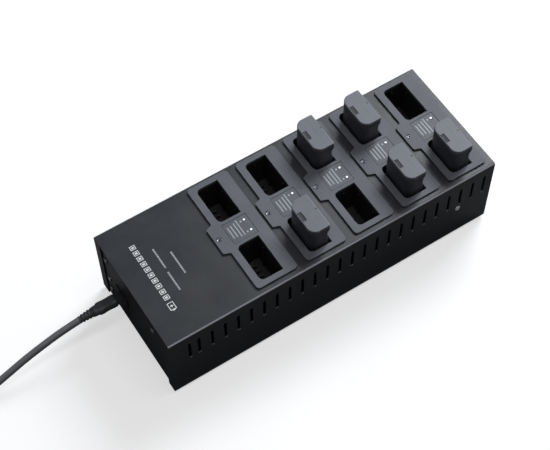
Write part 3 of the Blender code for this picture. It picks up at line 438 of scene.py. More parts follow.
def ramp(tree, value, stops):
    """A colour ramp through (position, colour) stops."""
    made = node(tree, "ValToRGB")
    elements = made.color_ramp.elements
    while len(elements) < len(stops):
        elements.new(0.5)
    for element, (position, colour) in zip(elements, stops):
        element.position = position
        element.color = (*colour, 1)
    feed(tree, made.inputs["Fac"], value)
    return made.outputs["Color"]


def blend_colours(tree, share, first, second):
    """The first colour where the share is 0, the second where it is 1."""
    made = node(tree, "Mix", data_type="RGBA")
    sockets = {s.identifier: s for s in made.inputs}
    feed(tree, sockets["Factor_Float"], share)
    for name, colour in (("A_Color", first), ("B_Color", second)):
        feed(tree, sockets[name], colour if isinstance(colour, bpy.types.NodeSocket) else (*colour, 1))
    return next(s for s in made.outputs if s.identifier == "Result_Color")


def span(tree, value, low, high, to_low=0.0, to_high=1.0):
    """The value's place from low to high, carried to another span and held at its ends."""
    made = node(tree, "MapRange")
    for socket, number in zip(made.inputs, (value, low, high, to_low, to_high)):
        feed(tree, socket, number)
    return made.outputs[0]


def new_group(name, inputs, outputs):
    """A shader node group with named sockets: floats with a default, vectors where it is None."""
    tree = bpy.data.node_groups.new(name, "ShaderNodeTree")
    for key, value in inputs.items():
        kind = "NodeSocketVector" if value is None else "NodeSocketFloat"
        socket = tree.interface.new_socket(key, in_out="INPUT", socket_type=kind)
        if value is not None:
            socket.default_value = value
    for key in outputs:
        tree.interface.new_socket(key, in_out="OUTPUT", socket_type="NodeSocketFloat")
    return tree, tree.nodes.new("NodeGroupInput").outputs, tree.nodes.new("NodeGroupOutput").inputs


def use_group(tree, group, **values):
    """The outputs of a group placed in a material; a socket's name has spaces where the value's has _."""
    made = tree.nodes.new("ShaderNodeGroup")
    made.node_tree = group
    for key, value in values.items():
        feed(tree, made.inputs[key.replace("_", " ")], value)
    return made.outputs


def grain_group():
    """Fine grain of a moulded or powder-coated skin, and slow drifts of its tone."""
    inputs = {"Place": None, "Grains": 1800.0, "Streaks": 1.0, "Mottle": 0.4}
    tree, given, out = new_group("skin_grain", inputs, ["Height", "Drift"])
    fine = texture(tree, "NOISE", given["Place"], given["Grains"], detail=2, roughness=0.6)
    cells = texture(tree, "CELLS", given["Place"], maths(tree, "MULTIPLY", given["Grains"], 0.45))
    feed(tree, out["Height"], maths(tree, "MULTIPLY_ADD", cells, 0.6, fine))
    slow = texture(tree, "NOISE", given["Place"], 21.0, detail=4, roughness=0.55)
    drawn = vector_maths(tree, "MULTIPLY", given["Place"], (260.0, 14.0, 40.0))
    streak = texture(tree, "NOISE", drawn, 1.0, detail=2)
    mixed = maths(tree, "MULTIPLY_ADD", maths(tree, "SUBTRACT", streak, 0.5), given["Streaks"], slow)
    mottle = maths(tree, "SUBTRACT", texture(tree, "NOISE", given["Place"], 620.0, detail=2), 0.5)
    mixed = maths(tree, "MULTIPLY_ADD", mottle, given["Mottle"], mixed)
    feed(tree, out["Drift"], span(tree, mixed, 0.2, 0.8))
    return tree


def wear_group():
    """Rubbed spots along rounded edges: the edge mask broken up by a noise."""
    tree, given, out = new_group("edge_wear", {"Place": None, "Edge": 0.0, "Amount": 0.5}, ["Mask"])
    rub = texture(tree, "NOISE", given["Place"], 95.0, detail=5, roughness=0.65)
    reach = maths(tree, "SUBTRACT", 0.78, maths(tree, "MULTIPLY", given["Amount"], 0.36))
    spots = span(tree, rub, reach, maths(tree, "ADD", reach, 0.14))
    feed(tree, out["Mask"], maths(tree, "MULTIPLY", spots, given["Edge"], clamp=True))
    return tree


def dust_group():
    """Settled dust: more on faces that look up, in soft patches with fine specks."""
    tree, given, out = new_group("settled_dust", {"Place": None, "Facing": 0.0, "Amount": 0.5}, ["Mask"])
    patch = span(tree, texture(tree, "NOISE", given["Place"], 34.0, detail=5, roughness=0.6), 0.42, 0.75)
    speck = span(tree, texture(tree, "NOISE", given["Place"], 2600.0, detail=1), 0.60, 0.74)
    laid = maths(tree, "MULTIPLY_ADD", speck, 0.5, maths(tree, "MULTIPLY", patch, 0.35))
    upward = span(tree, given["Facing"], 0.3, 0.95)
    amount = maths(tree, "MULTIPLY", upward, given["Amount"])
    feed(tree, out["Mask"], maths(tree, "MULTIPLY", laid, amount, clamp=True))
    return tree


def bar_group():
    """A printed bar: 1 where both |x - X| and |y - Y| are inside its half sizes, with a soft rim."""
    inputs = {"X": 0.0, "Y": 0.0, "At X": 0.0, "At Y": 0.0, "Half X": 0.001, "Half Y": 0.001}
    tree, given, out = new_group("printed_bar", inputs, ["Mask"])
    reach = []
    for axis in "XY":
        away = maths(tree, "ABSOLUTE", maths(tree, "SUBTRACT", given[axis], given[f"At {axis}"]))
        reach.append(maths(tree, "SUBTRACT", away, given[f"Half {axis}"]))
    furthest = maths(tree, "MAXIMUM", *reach)
    feed(tree, out["Mask"], span(tree, furthest, -0.00012, 0.00008, 1.0, 0.0))
    return tree


GRAIN, WEAR, DUST, BAR = grain_group(), wear_group(), dust_group(), bar_group()


DUST_TONE = (0.40, 0.40, 0.41)


class Finish:
    """A material with grain, tone drifts, edge wear and dust, to which a maker's marks can be added."""

    def __init__(self, name, dark, light, roughness, grains=1800.0, bump=0.02, metallic=0.0, streaks=0.4,
                 worn=(0.3, 0.3, 0.31), wear=0.35, dust=0.35, mottle=0.4):
        self.material = bpy.data.materials.new(name)
        self.material.use_nodes = True
        self.tree = tree = self.material.node_tree
        self.shader = tree.nodes["Principled BSDF"]
        self.place = node(tree, "TexCoord").outputs["Object"]
        grain = use_group(tree, GRAIN, Place=self.place, Grains=grains, Streaks=streaks, Mottle=mottle)
        self.edge = node(tree, "Attribute", attribute_name="edge").outputs["Fac"]
        rubbed = use_group(tree, WEAR, Place=self.place, Edge=self.edge, Amount=wear)["Mask"]
        split = node(tree, "SeparateXYZ")
        feed(tree, split.inputs[0], node(tree, "NewGeometry").outputs["Normal"])
        self.upward = split.outputs["Z"]
        self.dusty = use_group(tree, DUST, Place=self.place, Facing=self.upward, Amount=dust)["Mask"]
        self.colour = blend_colours(tree, grain["Drift"], dark, light)
        self.colour = blend_colours(tree, rubbed, self.colour, worn)
        drift = maths(tree, "MULTIPLY_ADD", grain["Drift"], 0.10, roughness - 0.05)
        polished = maths(tree, "MULTIPLY_ADD", rubbed, -0.12, drift)
        self.rough = maths(tree, "MULTIPLY_ADD", self.dusty, 0.25, polished, clamp=True)
        self.height = grain["Height"]
        self.bump = bump
        self.shader.inputs["Metallic"].default_value = metallic

    def done(self):
        """Lay the dust, and feed colour, roughness and relief to the shader."""
        tree = self.tree
        feed(tree, self.shader.inputs["Base Color"], blend_colours(tree, self.dusty, self.colour, DUST_TONE))
        feed(tree, self.shader.inputs["Roughness"], self.rough)
        relief = node(tree, "Bump")
        relief.inputs["Strength"].default_value = 0.55
        relief.inputs["Distance"].default_value = self.bump / 1000
        feed(tree, relief.inputs["Height"], self.height)
        feed(tree, self.shader.inputs["Normal"], relief.outputs["Normal"])
        return self.material

    def print_on(self, mask, ink=(0.80, 0.81, 0.82)):
        """Ink over the finish where the mask is 1, smoother than the skin and a little proud of it."""
        self.colour = blend_colours(self.tree, mask, self.colour, ink)
        self.height = maths(self.tree, "MULTIPLY_ADD", mask, 0.6, self.height)
        self.rough = maths(self.tree, "MULTIPLY_ADD", mask, -0.08, self.rough)


def plain_finish(name, *args, **settings):
    """A finish with no marks of its own."""
    return Finish(name, *args, **settings).done()


# ---- Finishes ----
def axes_of(finish):
    """The x, y and z of the place being shaded, in the model's frame."""
    split = node(finish.tree, "SeparateXYZ")
    feed(finish.tree, split.inputs[0], finish.place)
    return split.outputs["X"], split.outputs["Y"], split.outputs["Z"]


def bar(finish, x, y, at, half):
    """A printed bar's mask: its middle and its half sizes, in metres."""
    sizes = {"At_X": at[0], "At_Y": at[1], "Half_X": half[0], "Half_Y": half[1]}
    return use_group(finish.tree, BAR, X=x, Y=y, **sizes)["Mask"]


def either(finish, *masks):
    """1 where any mask is."""
    whole = masks[0]
    for mask in masks[1:]:
        whole = maths(finish.tree, "MAXIMUM", whole, mask)
    return whole


def without(finish, mask, hole):
    """The mask with another one cut out of it."""
    return maths(finish.tree, "SUBTRACT", mask, hole, clamp=True)


def repeated(finish, value, start, pitch):
    """The value's distance from the nearest of evenly spaced places."""
    return maths(finish.tree, "WRAP", maths(finish.tree, "SUBTRACT", value, start), pitch / 2, -pitch / 2)


def outlined(finish, x, y, at, half):
    """A box's outline: the box without the box that is a line's width smaller all round."""
    inner = (half[0] - MARK_LINE, half[1] - MARK_LINE)
    return without(finish, bar(finish, x, y, at, half), bar(finish, x, y, at, inner))


def dashes(finish, x, y, at_x, ends, width, pitch, share):
    """A line along Y broken into short blocks."""
    row = bar(finish, x, y, (at_x, sum(ends) / 2), (width / 2, abs(ends[1] - ends[0]) / 2))
    block_y = repeated(finish, y, ends[0] + pitch / 2, pitch)
    block = bar(finish, x, block_y, (at_x, 0), (width, pitch * share / 2))
    return maths(finish.tree, "MULTIPLY", row, block)


MARK_LINE = 0.0007
CELL_COUNT = 10
CELL_ROW = (-0.1600, -0.0242, 0.0070)  # x, the first cell's y, and their pitch
CELL_SIZE = (0.0058, 0.0050)
CHARGE_INSET = 0.0015  # from a cell's outside to the block in it
SYMBOL_AT = (-0.1604, -0.0345)
SYMBOL_SIZE = (0.0064, 0.0084)
TERMINAL_OUT = 0.0004
TERMINAL_HALF = (0.0012, 0.0006)
PLUS_ARM = (0.0016, 0.0004)  # half length and half width
DECK_DASHES = (  # x, and the y of both ends
    (-0.1447, (0.0276, 0.0033)),
    (-0.1452, (-0.0014, -0.0239)),
    (-0.1319, (0.0160, -0.0111)),
)
LEGEND_DASHES = (  # the same, from a module's middle
    (-0.0085, (0.0072, -0.0067)),
    (-0.0050, (0.0076, -0.0067)),
    (-0.0012, (0.0086, -0.0083)),
    (0.0022, (0.0100, -0.0083)),
)
LAMP_MARK_X = 0.0060
LAMP_SPREAD = 0.0065


def cell_marks(coat, x, y):
    """A row of cell outlines along Y, each with a solid block in its middle."""
    row_x, first_y, pitch = CELL_ROW
    cell_y = repeated(coat, y, first_y, pitch)
    row_middle = first_y + (CELL_COUNT - 1) / 2 * pitch
    row = bar(coat, x, y, (row_x, row_middle), (CELL_SIZE[0], CELL_COUNT / 2 * pitch))
    half_x, half_y = CELL_SIZE[0] / 2, CELL_SIZE[1] / 2
    charge = bar(coat, x, cell_y, (row_x, 0), (half_x - CHARGE_INSET, half_y - CHARGE_INSET))
    cells = either(coat, outlined(coat, x, cell_y, (row_x, 0), (half_x, half_y)), charge)
    return maths(coat.tree, "MULTIPLY", cells, row)


def battery_symbol(coat, x, y):
    """A battery's outline with its terminal at one end and a plus sign in its middle."""
    wide, tall = SYMBOL_SIZE[0] / 2, SYMBOL_SIZE[1] / 2
    terminal_y = SYMBOL_AT[1] - tall - TERMINAL_OUT
    long, thin = PLUS_ARM
    return either(
        coat,
        outlined(coat, x, y, SYMBOL_AT, (wide, tall)),
        bar(coat, x, y, (SYMBOL_AT[0], terminal_y), TERMINAL_HALF),
        bar(coat, x, y, SYMBOL_AT, (long, thin)),
        bar(coat, x, y, SYMBOL_AT, (thin, long)),
    )


def painted_cover():
    """Dark powder coat with the deck's cells, battery symbol and dashed lines, and a painted highlight on its
    upper bends and deck edges.
    """
    coat = Finish("powder_coat_cover", (0.0125, 0.0155, 0.0205), (0.0165, 0.0195, 0.0245), 0.40, grains=1500,
                  bump=0.030, streaks=0.2, worn=(0.20, 0.21, 0.22), wear=0.30, dust=0.08)
    tree = coat.tree
    x, y, z = axes_of(coat)
    marks = either(coat, cell_marks(coat, x, y), battery_symbol(coat, x, y))
    lines = [dashes(coat, x, y, at, ends, 0.0017, 0.0021, 0.72) for at, ends in DECK_DASHES]
    on_deck = span(tree, coat.upward, 0.90, 0.97)
    coat.print_on(maths(tree, "MULTIPLY", either(coat, *lines), on_deck), ink=(0.46, 0.48, 0.50))
    coat.print_on(maths(tree, "MULTIPLY", marks, on_deck))
    # Painted highlight: the upper bends and the deck's rounded edges are lightened to stand in for the glint
    # of the overhead light.
    bend = maths(tree, "MULTIPLY", span(tree, coat.upward, 0.97, 0.85), span(tree, coat.upward, 0.30, 0.55))
    deck_edge_highlight = maths(tree, "MULTIPLY", coat.edge, span(tree, z, DECK_Z - 0.004, DECK_Z - 0.003))
    rim = maths(tree, "MULTIPLY", either(coat, bend, deck_edge_highlight), 0.85)
    coat.colour = blend_colours(tree, rim, coat.colour, (0.42, 0.44, 0.47))
    return coat.done()


def cradle_plastic():
    """Moulded plastic with painted shade down in the pockets, where it is also free of dust."""
    skin = Finish("moulded_cradle", (0.080, 0.088, 0.102), (0.107, 0.116, 0.131), 0.60, grains=2100,
                  bump=0.022, streaks=0.15, worn=(0.16, 0.17, 0.19), wear=0.45, dust=0.22, mottle=1.2)
    _, _, z = axes_of(skin)
    # Painted shade: below the deck the plastic is blended to near black, standing in for the shade inside the
    # pockets.
    deep = span(skin.tree, z, DECK_Z + 0.0008, DECK_Z - 0.0030)
    skin.colour = blend_colours(skin.tree, deep, skin.colour, (0.0085, 0.0090, 0.0105))
    skin.dusty = maths(skin.tree, "MULTIPLY_ADD", deep, -1.0, skin.dusty, clamp=True)
    return skin.done()


def cap_plastic():
    """Grey satin plastic, darker and duller in the cap's "sunk" places, with a painted highlight lightening
    its "edge".
    """
    skin = Finish("pack_cap_grey", (0.112, 0.119, 0.141), (0.142, 0.150, 0.174), 0.52, grains=2300,
                  bump=0.016, streaks=0.35, worn=(0.30, 0.31, 0.34), wear=0.5, dust=0.2, mottle=0.9)
    sunk = node(skin.tree, "Attribute", attribute_name="sunk").outputs["Fac"]
    skin.colour = blend_colours(skin.tree, sunk, skin.colour, (0.030, 0.032, 0.039))
    skin.rough = maths(skin.tree, "MULTIPLY_ADD", sunk, 0.20, skin.rough, clamp=True)
    # Painted highlight: the rim round the cap's top is lightened to stand in for light catching its rounded
    # edge.
    lighter = maths(skin.tree, "MULTIPLY", skin.edge, 0.55)
    skin.colour = blend_colours(skin.tree, lighter, skin.colour, (0.24, 0.25, 0.27))
    return skin.done()


def legend_film():
    """Satin film with dashed lines and a small block beside each lamp, the same on every module."""
    film = Finish("legend_film", (0.071, 0.079, 0.092), (0.086, 0.095, 0.108), 0.52, grains=2600,
                  bump=0.008, streaks=0.1, wear=0.1, dust=0.25)
    along, y, _ = axes_of(film)
    x = repeated(film, along, BAYS[0].x, BAYS[1].x - BAYS[0].x)
    y = maths(film.tree, "SUBTRACT", y, BAYS[0].y)
    lines = [dashes(film, x, y, at, ends, 0.0013, 0.0019, 0.74) for at, ends in LEGEND_DASHES]
    spots = [bar(film, x, y, (LAMP_MARK_X, side * LAMP_SPREAD), (0.0007, 0.0009)) for side in (-1, 1)]
    film.print_on(either(film, *lines, *spots), ink=(0.42, 0.44, 0.46))
    return film.done()


def lamp_lens():
    """Milky lens lit from below: brightest in its middle, fading to its rim."""
    lens = Finish("lamp_lens", (0.80, 0.82, 0.84), (0.90, 0.91, 0.92), 0.22, grains=4000, bump=0.002,
                  wear=0.0, dust=0.1)
    glow = span(lens.tree, lens.upward, 0.2, 0.95, 0.35, 0.9)
    light = blend_colours(lens.tree, glow, (0.0, 0.0, 0.0), (1.0, 1.0, 0.98))
    feed(lens.tree, lens.shader.inputs["Emission Color"], light)
    lens.shader.inputs["Emission Strength"].default_value = 0.9
    lens.shader.inputs["Subsurface Weight"].default_value = 0.2
    return lens.done()


TRACKS = {"Scale": 260.0, "Mortar Size": 0.02, "Mortar Smooth": 0.3, "Brick Width": 0.9, "Row Height": 0.35}
CONTACTS_BELOW_DECK = 0.0432
POWER_BOARD_TOP = 0.0098  # above the cover's lower edge
STRAND_PITCH = 0.0012


def circuit_board():
    """Green solder mask over copper tracks, with tin pads; also the x, y and z of the place being shaded."""
    board = Finish("circuit_board", (0.010, 0.060, 0.025), (0.016, 0.085, 0.036), 0.35, grains=1200,
                   bump=0.010, wear=0.1, dust=0.3)
    tree = board.tree
    tracks = node(tree, "TexBrick", offset=0.5)
    for key, value in TRACKS.items():
        tracks.inputs[key].default_value = value
    feed(tree, tracks.inputs["Vector"], board.place)
    track = span(tree, tracks.outputs["Fac"], 0, 1, 0, 0.7)
    board.colour = blend_colours(tree, track, board.colour, (0.030, 0.150, 0.060))
    pads = span(tree, texture(tree, "CELLS", board.place, 420.0), 0.10, 0.14, 1, 0)
    board.colour = blend_colours(tree, pads, board.colour, (0.55, 0.56, 0.56))
    return board, *axes_of(board)


def contact_board_finish():
    """The contact boards: above the board's own face stand bright contact blades."""
    board, _, _, z = circuit_board()
    floor_z = DECK_Z - CONTACTS_BELOW_DECK
    above = span(board.tree, z, floor_z, floor_z + 0.0002)
    board.colour = blend_colours(board.tree, above, board.colour, (0.17, 0.165, 0.155))
    feed(board.tree, board.shader.inputs["Metallic"], above)
    return board.done()


def power_board_finish():
    """The power board: its raised parts are a taped transformer in front and dark capacitors behind."""
    board, _, y, z = circuit_board()
    tree = board.tree
    top = CASE_LOW.z + POWER_BOARD_TOP
    raised = span(tree, z, top, top + 0.0002)
    layers = vector_maths(tree, "MULTIPLY", board.place, (40.0, 40.0, 900.0))
    wound = span(tree, texture(tree, "NOISE", layers, 1.0), 0.4, 0.6)
    tape = blend_colours(tree, wound, (0.18, 0.12, 0.03), (0.24, 0.17, 0.05))
    sleeve = blend_colours(tree, wound, (0.018, 0.020, 0.030), (0.028, 0.030, 0.042))
    behind = span(tree, y, 0.0, 0.001)
    board.colour = blend_colours(tree, raised, board.colour, blend_colours(tree, behind, tape, sleeve))
    return board.done()


def ribbon_finish():
    """Flat cable: grey strands side by side along its width, the first one dark."""
    cable = Finish("ribbon_grey", (0.25, 0.26, 0.28), (0.32, 0.33, 0.35), 0.5, grains=900, bump=0.05,
                   wear=0.0, dust=0.3)
    tree = cable.tree
    _, y, _ = axes_of(cable)
    low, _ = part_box("ribbon_cable")
    strand = maths(tree, "ABSOLUTE", repeated(cable, y, low.y, STRAND_PITCH))
    valley = span(tree, strand, 0.0002, 0.0006, 1, 0)
    cable.height = maths(tree, "MULTIPLY_ADD", valley, 2.0, cable.height)
    first = span(tree, y, low.y + STRAND_PITCH - 0.0001, low.y + STRAND_PITCH, 1, 0)
    cable.colour = blend_colours(tree, first, cable.colour, (0.05, 0.06, 0.09))
    return cable.done()


def jacket_finish():
    """Extruded jacket: a fine pattern along the lead, from its own UV map."""
    jacket = Finish("cord_jacket", (0.120, 0.124, 0.134), (0.155, 0.160, 0.172), 0.42, grains=1600,
                    bump=0.012, wear=0.0, dust=0.35)
    across = node(jacket.tree, "UVMap", uv_map="UVMap").outputs["UV"]
    stretched = vector_maths(jacket.tree, "MULTIPLY", across, (30.0, 90.0, 1.0))
    drawn = texture(jacket.tree, "NOISE", stretched, 1.0, detail=2)
    jacket.rough = maths(jacket.tree, "MULTIPLY_ADD", drawn, 0.12, jacket.rough, clamp=True)
    return jacket.done()


def make_finishes():
    """Every finish by name: its darker and lighter tone, its roughness, and its grain, wear and dust."""
    chassis = dict(grains=1500, bump=0.030, streaks=0.2, worn=(0.20, 0.21, 0.22), wear=0.35, dust=0.2)
    case = dict(grains=2300, bump=0.018, worn=(0.07, 0.07, 0.08), wear=0.3, dust=0.18)
    black_zinc = dict(grains=900, bump=0.004, metallic=1.0, worn=(0.5, 0.5, 0.5), wear=0.5, dust=0.1)
    steel = dict(grains=700, bump=0.006, metallic=1.0, worn=(0.75, 0.75, 0.74), wear=0.6, dust=0.15)
    zinc = dict(grains=700, bump=0.006, metallic=0.35, worn=(0.95, 0.95, 0.95), wear=0.4, dust=0.1)
    extruded = dict(grains=600, bump=0.01, metallic=1.0, streaks=1.5, wear=0.2, dust=0.3)
    inlet = dict(grains=1900, bump=0.014, worn=(0.06, 0.06, 0.07), wear=0.3, dust=0.15)
    moulding = dict(grains=1700, bump=0.02, worn=(0.08, 0.08, 0.09), wear=0.3, dust=0.25)
    nickel = dict(grains=600, bump=0.004, metallic=1.0, worn=(0.75, 0.75, 0.74), wear=0.4, dust=0.1)
    clear = dict(grains=900, bump=0.004, wear=0.0, dust=0.1)
    rubber = dict(grains=1100, bump=0.04, wear=0.0, dust=0.5)
    strap = dict(grains=1400, bump=0.06, wear=0.0, dust=0.4)
    plain = {
        "chassis": ("powder_coat_chassis", (0.012, 0.014, 0.017), (0.017, 0.019, 0.022), 0.42, chassis),
        "pipe": ("clear_pipe", (0.16, 0.17, 0.18), (0.22, 0.23, 0.24), 0.18, clear),
        "pack_case": ("pack_case_black", (0.034, 0.037, 0.043), (0.047, 0.050, 0.058), 0.38, case),
        "dark_screw": ("black_zinc", (0.10, 0.103, 0.11), (0.15, 0.155, 0.165), 0.30, black_zinc),
        "steel": ("nickel_steel", (0.46, 0.46, 0.46), (0.60, 0.60, 0.59), 0.24, steel),
        "zinc": ("bright_zinc", (0.78, 0.78, 0.78), (0.90, 0.90, 0.90), 0.42, zinc),
        "rubber": ("foot_rubber", (0.010, 0.010, 0.011), (0.018, 0.018, 0.019), 0.78, rubber),
        "aluminium": ("heat_sink_aluminium", (0.62, 0.63, 0.64), (0.74, 0.75, 0.76), 0.34, extruded),
        "inlet": ("inlet_black", (0.010, 0.010, 0.012), (0.016, 0.016, 0.019), 0.36, inlet),
        "moulding": ("lead_moulding", (0.046, 0.049, 0.056), (0.062, 0.065, 0.074), 0.40, moulding),
        "strap": ("tie_strap", (0.012, 0.012, 0.014), (0.03, 0.03, 0.033), 0.7, strap),
        "nickel": ("plug_blade_nickel", (0.56, 0.56, 0.55), (0.66, 0.66, 0.65), 0.26, nickel),
    }
    finishes = {key: plain_finish(*look, **skin) for key, (*look, skin) in plain.items()}
    finishes["cover"] = painted_cover()
    finishes["cradle"] = cradle_plastic()
    finishes["legend"] = legend_film()
    finishes["lens"] = lamp_lens()
    finishes["pack_cap"] = cap_plastic()
    finishes["contact_board"] = contact_board_finish()
    finishes["power_board"] = power_board_finish()
    finishes["ribbon"] = ribbon_finish()
    finishes["jacket"] = jacket_finish()
    return finishes


# ---- Mains lead ----
def coil_points():
    """Turns of the coil: radius and height are straight lines of the angle, piece by piece.

    Inwards on the floor, up at the innermost turn, then outwards on top of the first layer.
    """
    inwards, climb, outwards = COIL_TURNS
    knots = np.array([0, inwards, inwards + climb, inwards + climb + outwards])
    per_turn = 40
    turn = np.linspace(0, knots[-1], round(per_turn * knots[-1]) + 1)
    radius = np.interp(turn, knots, (COIL_OUTER_TURN, COIL_INNER_TURN, COIL_INNER_TURN, COIL_TOP_TURN))
    height = np.interp(turn, knots, (COIL_LAYERS[0], COIL_LAYERS[0], COIL_LAYERS[1], COIL_LAYERS[1]))
    angle = math.pi / 2 + turn * 2 * math.pi
    x, y = COIL_CENTRE
    return np.stack([x + radius * np.cos(angle), y + radius * np.sin(angle), height], -1)


def lead_exit():
    """The middle of the boot's far end, where the cord leaves it."""
    boot = MODEL["lead_boot"].data
    points = np.empty(len(boot.vertices) * 3)
    boot.vertices.foreach_get("co", points)
    points = points.reshape(-1, 3)
    ahead = np.array(LEAD_ROUTE[0]) - points.mean(axis=0)
    ahead /= np.linalg.norm(ahead)
    along = points @ ahead
    return points[along > along.max() - 0.0004].mean(axis=0)


def make_lead(finish):
    """The whole cord as one tube: free stretch, coil and tail, joined in one smooth path."""
    start = lead_exit()
    coil = coil_points()
    path = np.concatenate([
        catmull([start, *LEAD_ROUTE], 0.004)[:-1],
        coil,
        catmull([coil[-1], *LEAD_TAIL], 0.003)[1:],
    ])
    for _ in range(3):
        path[1:-1] = (path[:-2] + 2 * path[1:-1] + path[2:]) / 4
    ring = np.broadcast_to(circle(14) * LEAD_DIAMETER / 2, (len(path), 14, 2))
    cord = mesh_object("mains_cord", *tube_parts(swept(path, ring)))
    stand_for(cord, "lead_cord", "lead_coil", "lead_tail", finish=finish, slot="cord_jacket")
    return cord, path, start


def loop_outline(near, far, low, high, corner):
    """A rounded rectangle between two radii and two heights, as one ring of points."""
    ring = rounded_outlines([far - near], [high - low], [corner], 6)[0]
    return ring + [(near + far) / 2, (low + high) / 2]


def make_tie(finish):
    """Strap round the turns: a rounded loop in the plane of radius and height, carried across its width.

    Each point of the inner outline is joined to its own point of the outer one, and the section between
    them has eight points, so P(k, j) = inner(k) + s(j) (outer(k) - inner(k)) + b(j) tangent.
    """
    near, far, low, high = TIE_LOOP
    over, under = TIE_THICKNESS
    inner = loop_outline(near, far, low, high, TIE_CORNERS[0])
    outer = loop_outline(near - over, far + over, low - under, high + over, TIE_CORNERS[1])
    half, edge = TIE_WIDTH / 2, 0.0003
    share = np.array([0, 0, 0.35, 0.75, 1, 1, 0.75, 0.35])[:, None]
    across = np.array([edge - half, half - edge, half, half, half - edge, edge - half, -half, -half])
    section = inner[:, None] + share * (outer - inner)[:, None]
    radial = np.array([math.cos(TIE_TURN), math.sin(TIE_TURN)])
    tangent = np.array([-radial[1], radial[0]])
    flat = COIL_CENTRE + section[..., :1] * radial + across[:, None] * tangent
    points = np.concatenate([flat, section[..., 1:]], -1)
    rows, columns = points.shape[:2]
    faces = grid_faces(rows + 1, columns, wrap=True)
    faces = [tuple(i % (rows * columns) for i in face) for face in faces]
    uv = np.stack(np.meshgrid(np.arange(rows) * 0.001, across, indexing="ij"), -1).reshape(-1, 2)
    tie = mesh_object("cord_tie", points.reshape(-1, 3), faces, uv)
    stand_for(tie, "coil_tie", finish=finish, slot="tie_strap")
    return tie


def make_boot(finish):
    """Strain relief: its radius falls evenly along it, with smooth grooves cut round it.

    Its middle line is the parabola from the connector's end that leaves level and meets the cord.
    """
    low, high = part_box("lead_boot")
    end = lead_exit()
    begin = np.array([high.x, (low.y + high.y) / 2, end[2] + (high.x - end[0]) * BOOT_DROOP])
    t = np.linspace(0, 1, 61)[:, None]
    middle = np.array([(begin[0] + end[0]) / 2, begin[1], begin[2]])
    path = (1 - t) ** 2 * begin + 2 * t * (1 - t) * middle + t**2 * end
    wide, thin = BOOT_RADII
    radius = wide + (thin - wide) * t[:, 0]
    groove = np.clip(np.sin(t[:, 0] * 2 * math.pi * BOOT_GROOVES - math.pi / 2), 0, 1) ** 0.7
    inside = (t[:, 0] > 0.06) & (t[:, 0] < 0.94)
    radius = radius - BOOT_GROOVE_DEPTH * groove * inside
    radius[[0, -1]] -= 0.0004
    boot = mesh_object("strain_relief", *tube_parts(swept(path, radius[:, None, None] * circle(28))))
    stand_for(boot, "lead_boot", finish=finish, slot="lead_moulding")
    return boot


def grip_stations(start, end, width, height):
    """Sections of the ridged grip: each side is drawn in by a ripple that fades out towards both ends."""
    ridges = np.linspace(start, end, 57)
    phase = np.clip((ridges - end) / (start - end), 0, 1)
    fade = np.clip(np.sin((phase - 0.18) * math.pi / 0.64), 0, 1) ** 0.5
    ripple = GRIP_DEPTH * fade * (1 - np.cos(phase * 2 * math.pi * GRIP_RIDGES))
    return [(x, width - r, height - r, 0.0036) for x, r in zip(ridges, ripple)]


def make_connector(finish):
    """The lead's socket: rounded sections along X, each an x, a width, a height and a corner radius."""
    low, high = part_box("lead_connector")
    middle_y, middle_z = (low.y + high.y) / 2, (low.z + high.z) / 2
    nose_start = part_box("mains_inlet")[0].x - 0.0062
    body_start, body_end = nose_start - 0.0012, low.x + 0.0062
    width, height = high.y - low.y, high.z - low.z
    stations = [
        (high.x - 0.0002, 0.0104, 0.0064, 0.0022),
        (high.x - 0.0008, 0.0112, 0.0072, 0.0026),
        (nose_start, 0.0112, 0.0072, 0.0026),
        (nose_start - 0.0001, width - 0.0016, height - 0.0016, 0.0026),
        (nose_start - 0.0008, width - 0.0002, height - 0.0002, 0.0034),
        (body_start, width, height, 0.0036),
        *grip_stations(body_start - 0.0015, body_end + 0.0015, width, height),
        (body_end, width - 0.0002, height - 0.0002, 0.0036),
        (body_end - 0.0008, width - 0.0012, height - 0.0010, 0.0036),
        (body_end - 0.0014, 0.0108, 0.0091, 0.0042),
        (low.x + 0.0004, 0.0102, 0.0090, 0.0042),
        (low.x, 0.0094, 0.0084, 0.0040),
    ]
    xs, widths, heights, radii = map(np.array, zip(*stations))
    outline = rounded_outlines(widths, heights, radii, 6)
    rings = np.concatenate([np.broadcast_to(xs[:, None, None], (*outline.shape[:2], 1)), outline], -1)
    rings[..., 1] += middle_y
    rings[..., 2] += middle_z
    connector = mesh_object("lead_socket", *tube_parts(rings[::-1]))
    stand_for(connector, "lead_connector", finish=finish, slot="lead_moulding")
    return connector


def plug_frame():
    """Where the cord enters the plug, the plug's direction and its side, and its middle height."""
    tail = np.array(LEAD_TAIL)
    ahead = tail[-1] - tail[-2]
    ahead[2] = 0
    ahead /= np.linalg.norm(ahead)
    low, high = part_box("mains_plug")
    return tail[-1] * [1, 1, 0], ahead, np.array([-ahead[1], ahead[0], 0]), (low.z + high.z) / 2


def plug_rings(along, outline, across=0.0):
    """Outlines carried along the plug: P(k, a) = start + d(k) ahead + (c - u) side + (h + v) up.

    c is how far the piece's middle lies to the side, and h is the plug's middle height.
    """
    start, ahead, side, middle_z = plug_frame()
    line = start + along[:, None] * ahead + across * side + [0, 0, middle_z]
    return line[:, None] - outline[..., :1] * side + outline[..., 1:] * [0, 0, 1.0]


def collar_stations():
    """Sections of the plug's round collar: it widens evenly, with ribs round it."""
    along = np.linspace(0, COLLAR_LENGTH, 37)
    ribs = COLLAR_RIB * (1 - np.cos(along / COLLAR_LENGTH * 2 * math.pi * COLLAR_RIBS)) / 2
    wide = COLLAR_WIDE[0] + (COLLAR_WIDE[1] - COLLAR_WIDE[0]) * along / COLLAR_LENGTH
    return [(0.0006 + d, w - r, w - r, (w - r) * 0.45) for d, w, r in zip(along, wide, ribs)]


